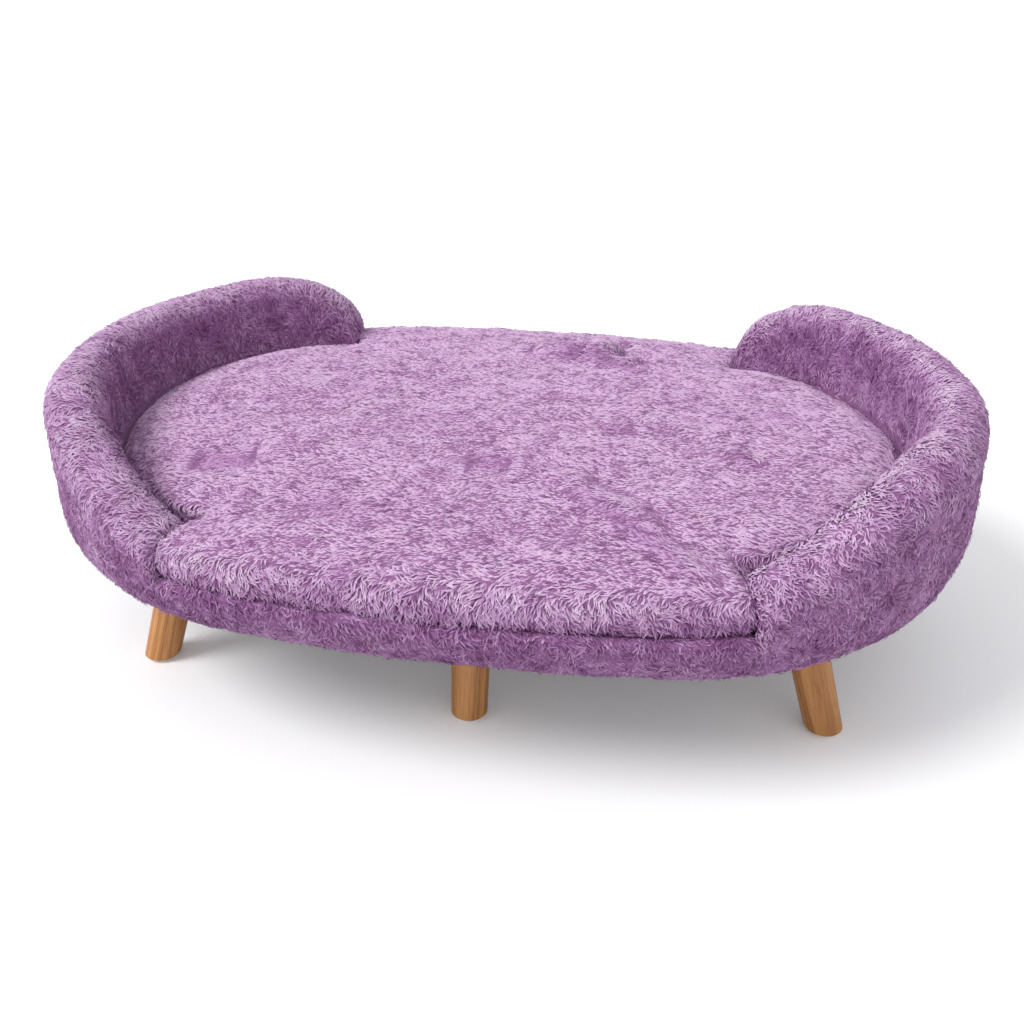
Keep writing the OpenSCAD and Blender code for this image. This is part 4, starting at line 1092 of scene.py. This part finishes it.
def cloth_slab(name, outline, holes, low, thick, mat, pitch, wave=0.0, seed=0):
    """A cut sheet of cloth, in millimetres: loops for its edge and holes, with slow waves
    in its height that fade towards its edges. Also gives its flat size and area, in metres."""
    edge, *holes = loops = [np.array(loop, float) for loop in [outline, *holes]]
    xs, ys = (np.arange(edge[:, k].min(), edge[:, k].max(), pitch) for k in (0, 1))
    grid = np.array([(x + (j % 2) * pitch / 2, y) for j, y in enumerate(ys) for x in xs])
    keep = inside(grid, edge) & (gap_to(grid, edge) > pitch * 0.45)
    for hole in holes:
        keep &= ~inside(grid, hole) & (gap_to(grid, hole) > pitch * 0.3)
    verts, edges = [], []
    for loop in loops:
        start = len(verts)
        verts += [Vector(p) for p in loop.tolist()]
        edges += [(start + k, start + (k + 1) % len(loop)) for k in range(len(loop))]
    verts += [Vector(p) for p in grid[keep].tolist()]
    made = delaunay_2d_cdt(verts, edges, [], 0, 1e-5)
    flat = np.array([tuple(v) for v in made[0]])
    middle = np.array([flat[list(face)].mean(0) for face in made[2]])
    good = inside(middle, edge)
    for hole in holes:
        good &= ~inside(middle, hole)
    faces = [tuple(face) for face, ok in zip(made[2], good) if ok]
    count = len(flat)
    fade = clamp(np.minimum.reduce([gap_to(flat, loop) for loop in loops]) / 40)
    rise = wave * fade * noise_at(np.column_stack([flat, np.zeros(count)]), 70, seed)
    under = np.column_stack([flat, low + rise])
    over = np.column_stack([flat, low + thick + rise])
    sides = dict.fromkeys(
        side for face in faces for side in zip(face, face[1:] + face[:1])
    )
    rim = [(a, b, b + count, a + count) for a, b in sides if (b, a) not in sides]
    up = [tuple(i + count for i in face) for face in faces]
    down = [face[::-1] for face in faces]
    a, b, c = (flat[[face[k] for face in faces]] for k in range(3))
    p, q = b - a, c - a
    area = (np.abs(p[:, 0] * q[:, 1] - p[:, 1] * q[:, 0]) / 2).sum() * MM * MM
    obj = mesh_object(name, np.concatenate([under, over]) * MM, up + down + rim, mat, smooth=False)
    return obj, tuple(np.ptp(flat[:, k]) * MM for k in (0, 1)), area


def square(x, y, half, angle):
    """A square's corners, turned round its centre."""
    c, s = half * math.cos(angle), half * math.sin(angle)
    return [(x + u * c - v * s, y + u * s + v * c) for u, v in ((-1, -1), (1, -1), (1, 1), (-1, 1))]


def make_cloths():
    clear, pad_end, pad_in = 1.4, 246, 59.6
    pad_line = []
    for x, y in oval_plan(FOOT_W + clear):
        if abs(x) <= pad_end:
            y = math.copysign(math.sqrt((SIDE_R - pad_in) ** 2 - x * x) - SIDE_Y, y)
        pad_line.append((x, y))
    pad, size, area = cloth_slab(
        "deck_felt", pad_line, [], PAD_Z, PAD_T, MATS["felt"], 18, 0.12, 61
    )
    put(pad, "frame", "felt", "deck_pad")

    holes = [
        square(x, y, PLATE_W / 2 + FIT, math.radians(heading))
        for x, y, _, heading in LEG_TOPS.values()
    ]
    dust, size, area = cloth_slab(
        "dust_cloth", oval_plan(FLAP_IN + clear), holes, FRAME_Z - FIT - DUST_T, DUST_T,
        MATS["dust"], 16,
    )
    put(dust, "frame", "dust_cloth", "dust_cover")

    half, y0, y1 = ZIP_L / 2 + 2.4, ZIP_Y - SLOT_W / 2, ZIP_Y + SLOT_W / 2
    slot = [(-half, y0), (half, y0), (half, y1), (-half, y1)]
    plan = cushion_outline(TURN_IN + FIT, 24, 16)
    base, size, area = cloth_slab(
        "cushion_base", plan, [slot], CUSHION_Z, BASE_T, MATS["base"], 17
    )
    put(base, "cushion", "base_cloth", "cushion_base_cloth")


def solid_of(outline, low, high, soften):
    """Points and faces of a plate with its outline in plan and its edges taken off."""
    line = np.array(outline)
    way = unit(line.mean(0) - line)
    levels = ((low, soften), (low + soften, 0), (high - soften, 0), (high, soften))
    rows = [np.column_stack([line + way * d, np.full(len(line), z)]) for z, d in levels]
    count = len(line)
    ends = [tuple(range(count))[::-1], tuple(range(3 * count, 4 * count))]
    return np.concatenate(rows), grid_faces(4, count, True) + ends


def joined(name, solids, mat):
    """One object of several solids, in millimetres."""
    points, faces, start = [], [], 0
    for these, those in solids:
        points.append(these)
        faces += [tuple(i + start for i in face) for face in those]
        start += len(these)
    return mesh_object(name, np.concatenate(points) * MM, faces, mat, smooth=False)


def rounded(x0, x1, y0, y1, r, steps=5):
    """A rectangle's outline with round corners."""
    line = []
    corners = ((x1 - r, y1 - r), (x0 + r, y1 - r), (x0 + r, y0 + r), (x1 - r, y0 + r))
    for quarter, (cx, cy) in enumerate(corners):
        for k in range(steps + 1):
            a = math.radians(90 * quarter + 90 * k / steps)
            line.append((cx + r * math.cos(a), cy + r * math.sin(a)))
    return line


def make_tapes():
    """The zip's two woven tapes, which run on past its teeth."""
    over, ridge = 7, (0.0, 0.12, 0.0, 0.12, 0.0)
    near, width = TEETH_GAP / 2 + TEETH_W / 2, (TAPE_W - TEETH_GAP - TEETH_W) / 2
    xs = np.linspace(-ZIP_L / 2 - over, ZIP_L / 2 + over, 120)
    count = len(ridge)
    top = len(xs) * count
    under = [face[::-1] for face in grid_faces(len(xs), count)]
    rim = [*range(count), *(k * count + count - 1 for k in range(1, len(xs)))]
    rim += [top - 1 - k for k in range(1, count)] + [k * count for k in range(len(xs) - 2, 0, -1)]
    faces = under + [tuple(i + top for i in face[::-1]) for face in under]
    faces += [(a, b, b + top, a + top) for a, b in zip(rim, rim[1:] + rim[:1])]
    tapes = []
    for s in (-1, 1):
        y0, y1 = sorted((ZIP_Y + s * near, ZIP_Y + s * (near + width)))
        ys = np.linspace(y0, y1, count)
        tapes.append((np.array([
            (x, y, z - sign * lift)
            for z, sign in ((TAPE_Z, -1), (TAPE_Z + TAPE_T, 1)) for x in xs
            for y, lift in zip(ys, ridge)
        ]), faces))
    tape = joined("zip_tapes", tapes, MATS["tape"])
    put(tape, "cushion", "zip_tape", "cushion_zip")


def make_teeth():
    """Both rows of teeth, and the stop at their end."""
    low, high, pitch = TAPE_Z - 0.6, TAPE_Z + 1.4, 2.4
    teeth = []
    for s in (-1, 1):
        near, far = ZIP_Y + s * TEETH_GAP / 2, ZIP_Y + s * (TEETH_GAP / 2 + TEETH_W)
        neck = near + s * 0.7
        for k in range(int(ZIP_L / pitch)):
            x = -ZIP_L / 2 + pitch * (k + (0.5 if s > 0 else 0.0))
            tip = [
                (x, near), (x + 0.45, near), (x + 0.75, neck), (x + 0.75, far), (x - 0.3, far),
                (x - 0.3, neck),
            ]
            teeth.append(solid_of(tip[::s], low, high, 0.2))
    stop = rounded(-ZIP_L / 2 - 2, -ZIP_L / 2 - 0.6, ZIP_Y - 2.7, ZIP_Y + 2.7, 0.5)
    teeth.append(solid_of(stop, low, high, 0.2))
    put(joined("zip_teeth", teeth, MATS["teeth"]), "cushion", "zip_tape")


def make_slider():
    """Two plates with a wedge between them, and a pull that hangs under them."""
    x0 = -ZIP_L / 2 + FIT
    side = [(0, 2.6), (2, 3.4), (9, SLIDER_W / 2), (12.6, SLIDER_W / 2), (SLIDER_L, 3.2)]
    plate = [(x0 + x, ZIP_Y - y) for x, y in side] + [(x0 + SLIDER_L - 1.6, ZIP_Y)]
    plate += [(x0 + x, ZIP_Y + y) for x, y in side[::-1]]
    low, high = (corner[2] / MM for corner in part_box("zip_slider"))
    low += SLIDER_T / 2
    wedge = rounded(x0, x0 + 4.6, ZIP_Y - 0.35, ZIP_Y + 0.35, 0.2, 2)
    outer = rounded(x0 + 3.5, x0 + 3.5 + SLIDER_L, ZIP_Y - 2.2, ZIP_Y + 2.2, 1.6)
    hole = rounded(x0 + 11.2, x0 + 15.6, ZIP_Y - 1.0, ZIP_Y + 1.0, 0.9)
    count = len(outer)
    pull = [
        np.column_stack([np.array(line), np.full(count, z)]) for line, z in (
            (outer, low - 0.5), (outer, low - 0.02), (hole, low - 0.02), (hole, low - 0.5),
            (outer, low - 0.5),
        )
    ]
    solids = [
        solid_of(plate, low, low + SLIDER_T, 0.3), solid_of(plate, high - SLIDER_T, high, 0.3),
        solid_of(wedge, low, high, 0.1), (np.concatenate(pull), grid_faces(5, count, True)),
    ]
    slider = joined("slider", solids, MATS["slider"])
    put(slider, "zip_slider", "zip_metal", "zip_slider")


def wear(mat, *names):
    for name in names:
        materials = NODES[name].data.materials
        materials.clear()
        materials.append(mat)


def finish_nodes():
    """Wood, board and metal on the CAD nodes that stay."""
    pine = (linear(176, 132, 82), linear(212, 172, 118), linear(232, 200, 150))
    beech = (linear(168, 110, 58), linear(198, 138, 78), linear(208, 149, 88))
    for name, (x, y, splay, heading) in LEG_TOPS.items():
        a, b = math.radians(heading), math.radians(splay)
        axis = (math.sin(b) * math.cos(a), math.sin(b) * math.sin(a), -math.cos(b))
        # The tree's heart lies 31 mm beside the leg's axis
        heart = (
            (x + 31 * math.cos(a + 2.2)) * MM, (y + 31 * math.sin(a + 2.2)) * MM, FRAME_Z * MM
        )
        wear(wood_material(f"leg_wood_{name}", axis, heart, beech, 210.0, 0.4), f"leg_{name}")
    along, across, upright = (
        wood_material(f"pine_{way}", axis, heart, pine, 120.0, 0.62) for way, axis, heart in (
            ("along", (1, 0, 0), (0, 0.02, 0.1)), ("across", (0, 1, 0), (0.02, 0, 0.1)),
            ("upright", (0, 0, 1), (0.33, 0.03, 0)),
        )
    )
    wear(along, "base_front_rail", "base_rear_rail")
    wear(across, "cross_rails", "base_left_rail", "base_right_rail")
    board = fibre_material(
        "hardboard_brown", linear(96, 66, 42), linear(140, 100, 66), 900.0, 0.6, 0.0002
    )
    for side in ("left", "right"):
        wear(across, f"{side}_arm_bottom_rail", f"{side}_arm_top_rail")
        wear(upright, f"{side}_arm_posts", f"{side}_arm_end_blocks")
        wear(board, f"{side}_arm_inner_panel", f"{side}_arm_outer_panel")
    wear(plywood_material(), "seat_deck")
    zinc = metal_material("bright_zinc", (0.62, 0.64, 0.66, 1), 0.34)
    wear(
        zinc, "deck_screws", "arm_screws", "arm_washers", "hanger_bolts", "leg_plates",
        "plate_screws",
    )
    wear(nylon_material(), "leg_glides")


make_camera()
make_lights()
make_floor()

MATS = {
    "foam": fibre_material("cream_foam", linear(222, 208, 170), linear(240, 230, 200)),
    "felt": fibre_material(
        "grey_felt", linear(92, 88, 104), linear(128, 124, 142), 900.0, 0.95, 0.0006
    ),
    "dust": cloth_material("dust_weave", linear(34, 32, 36), linear(66, 62, 70), 1400, 0.9),
    "base": cloth_material("base_weave", linear(74, 66, 84), linear(112, 102, 124), 1500, 0.85),
    "tape": cloth_material("tape_weave", linear(60, 52, 68), linear(92, 82, 102), 2600, 0.8),
    "teeth": metal_material("zip_coil", linear(104, 92, 116), 0.45, 0.0),
    "slider": metal_material("slider_nickel", (0.55, 0.55, 0.57, 1), 0.3),
}
PILE = pile_material()
GROUND = ground_material()
ARMS = {side: make_arm(side) for side in (-1, 1)}
BANDS = {side: make_band(side) for side in (-1, 1)}
CUSHION = make_cushion()
for side in (-1, 1):
    arm_fur(side)
    band_fur(side)
cushion_fur()
make_cloths()
make_tapes()
make_teeth()
make_slider()
finish_nodes()
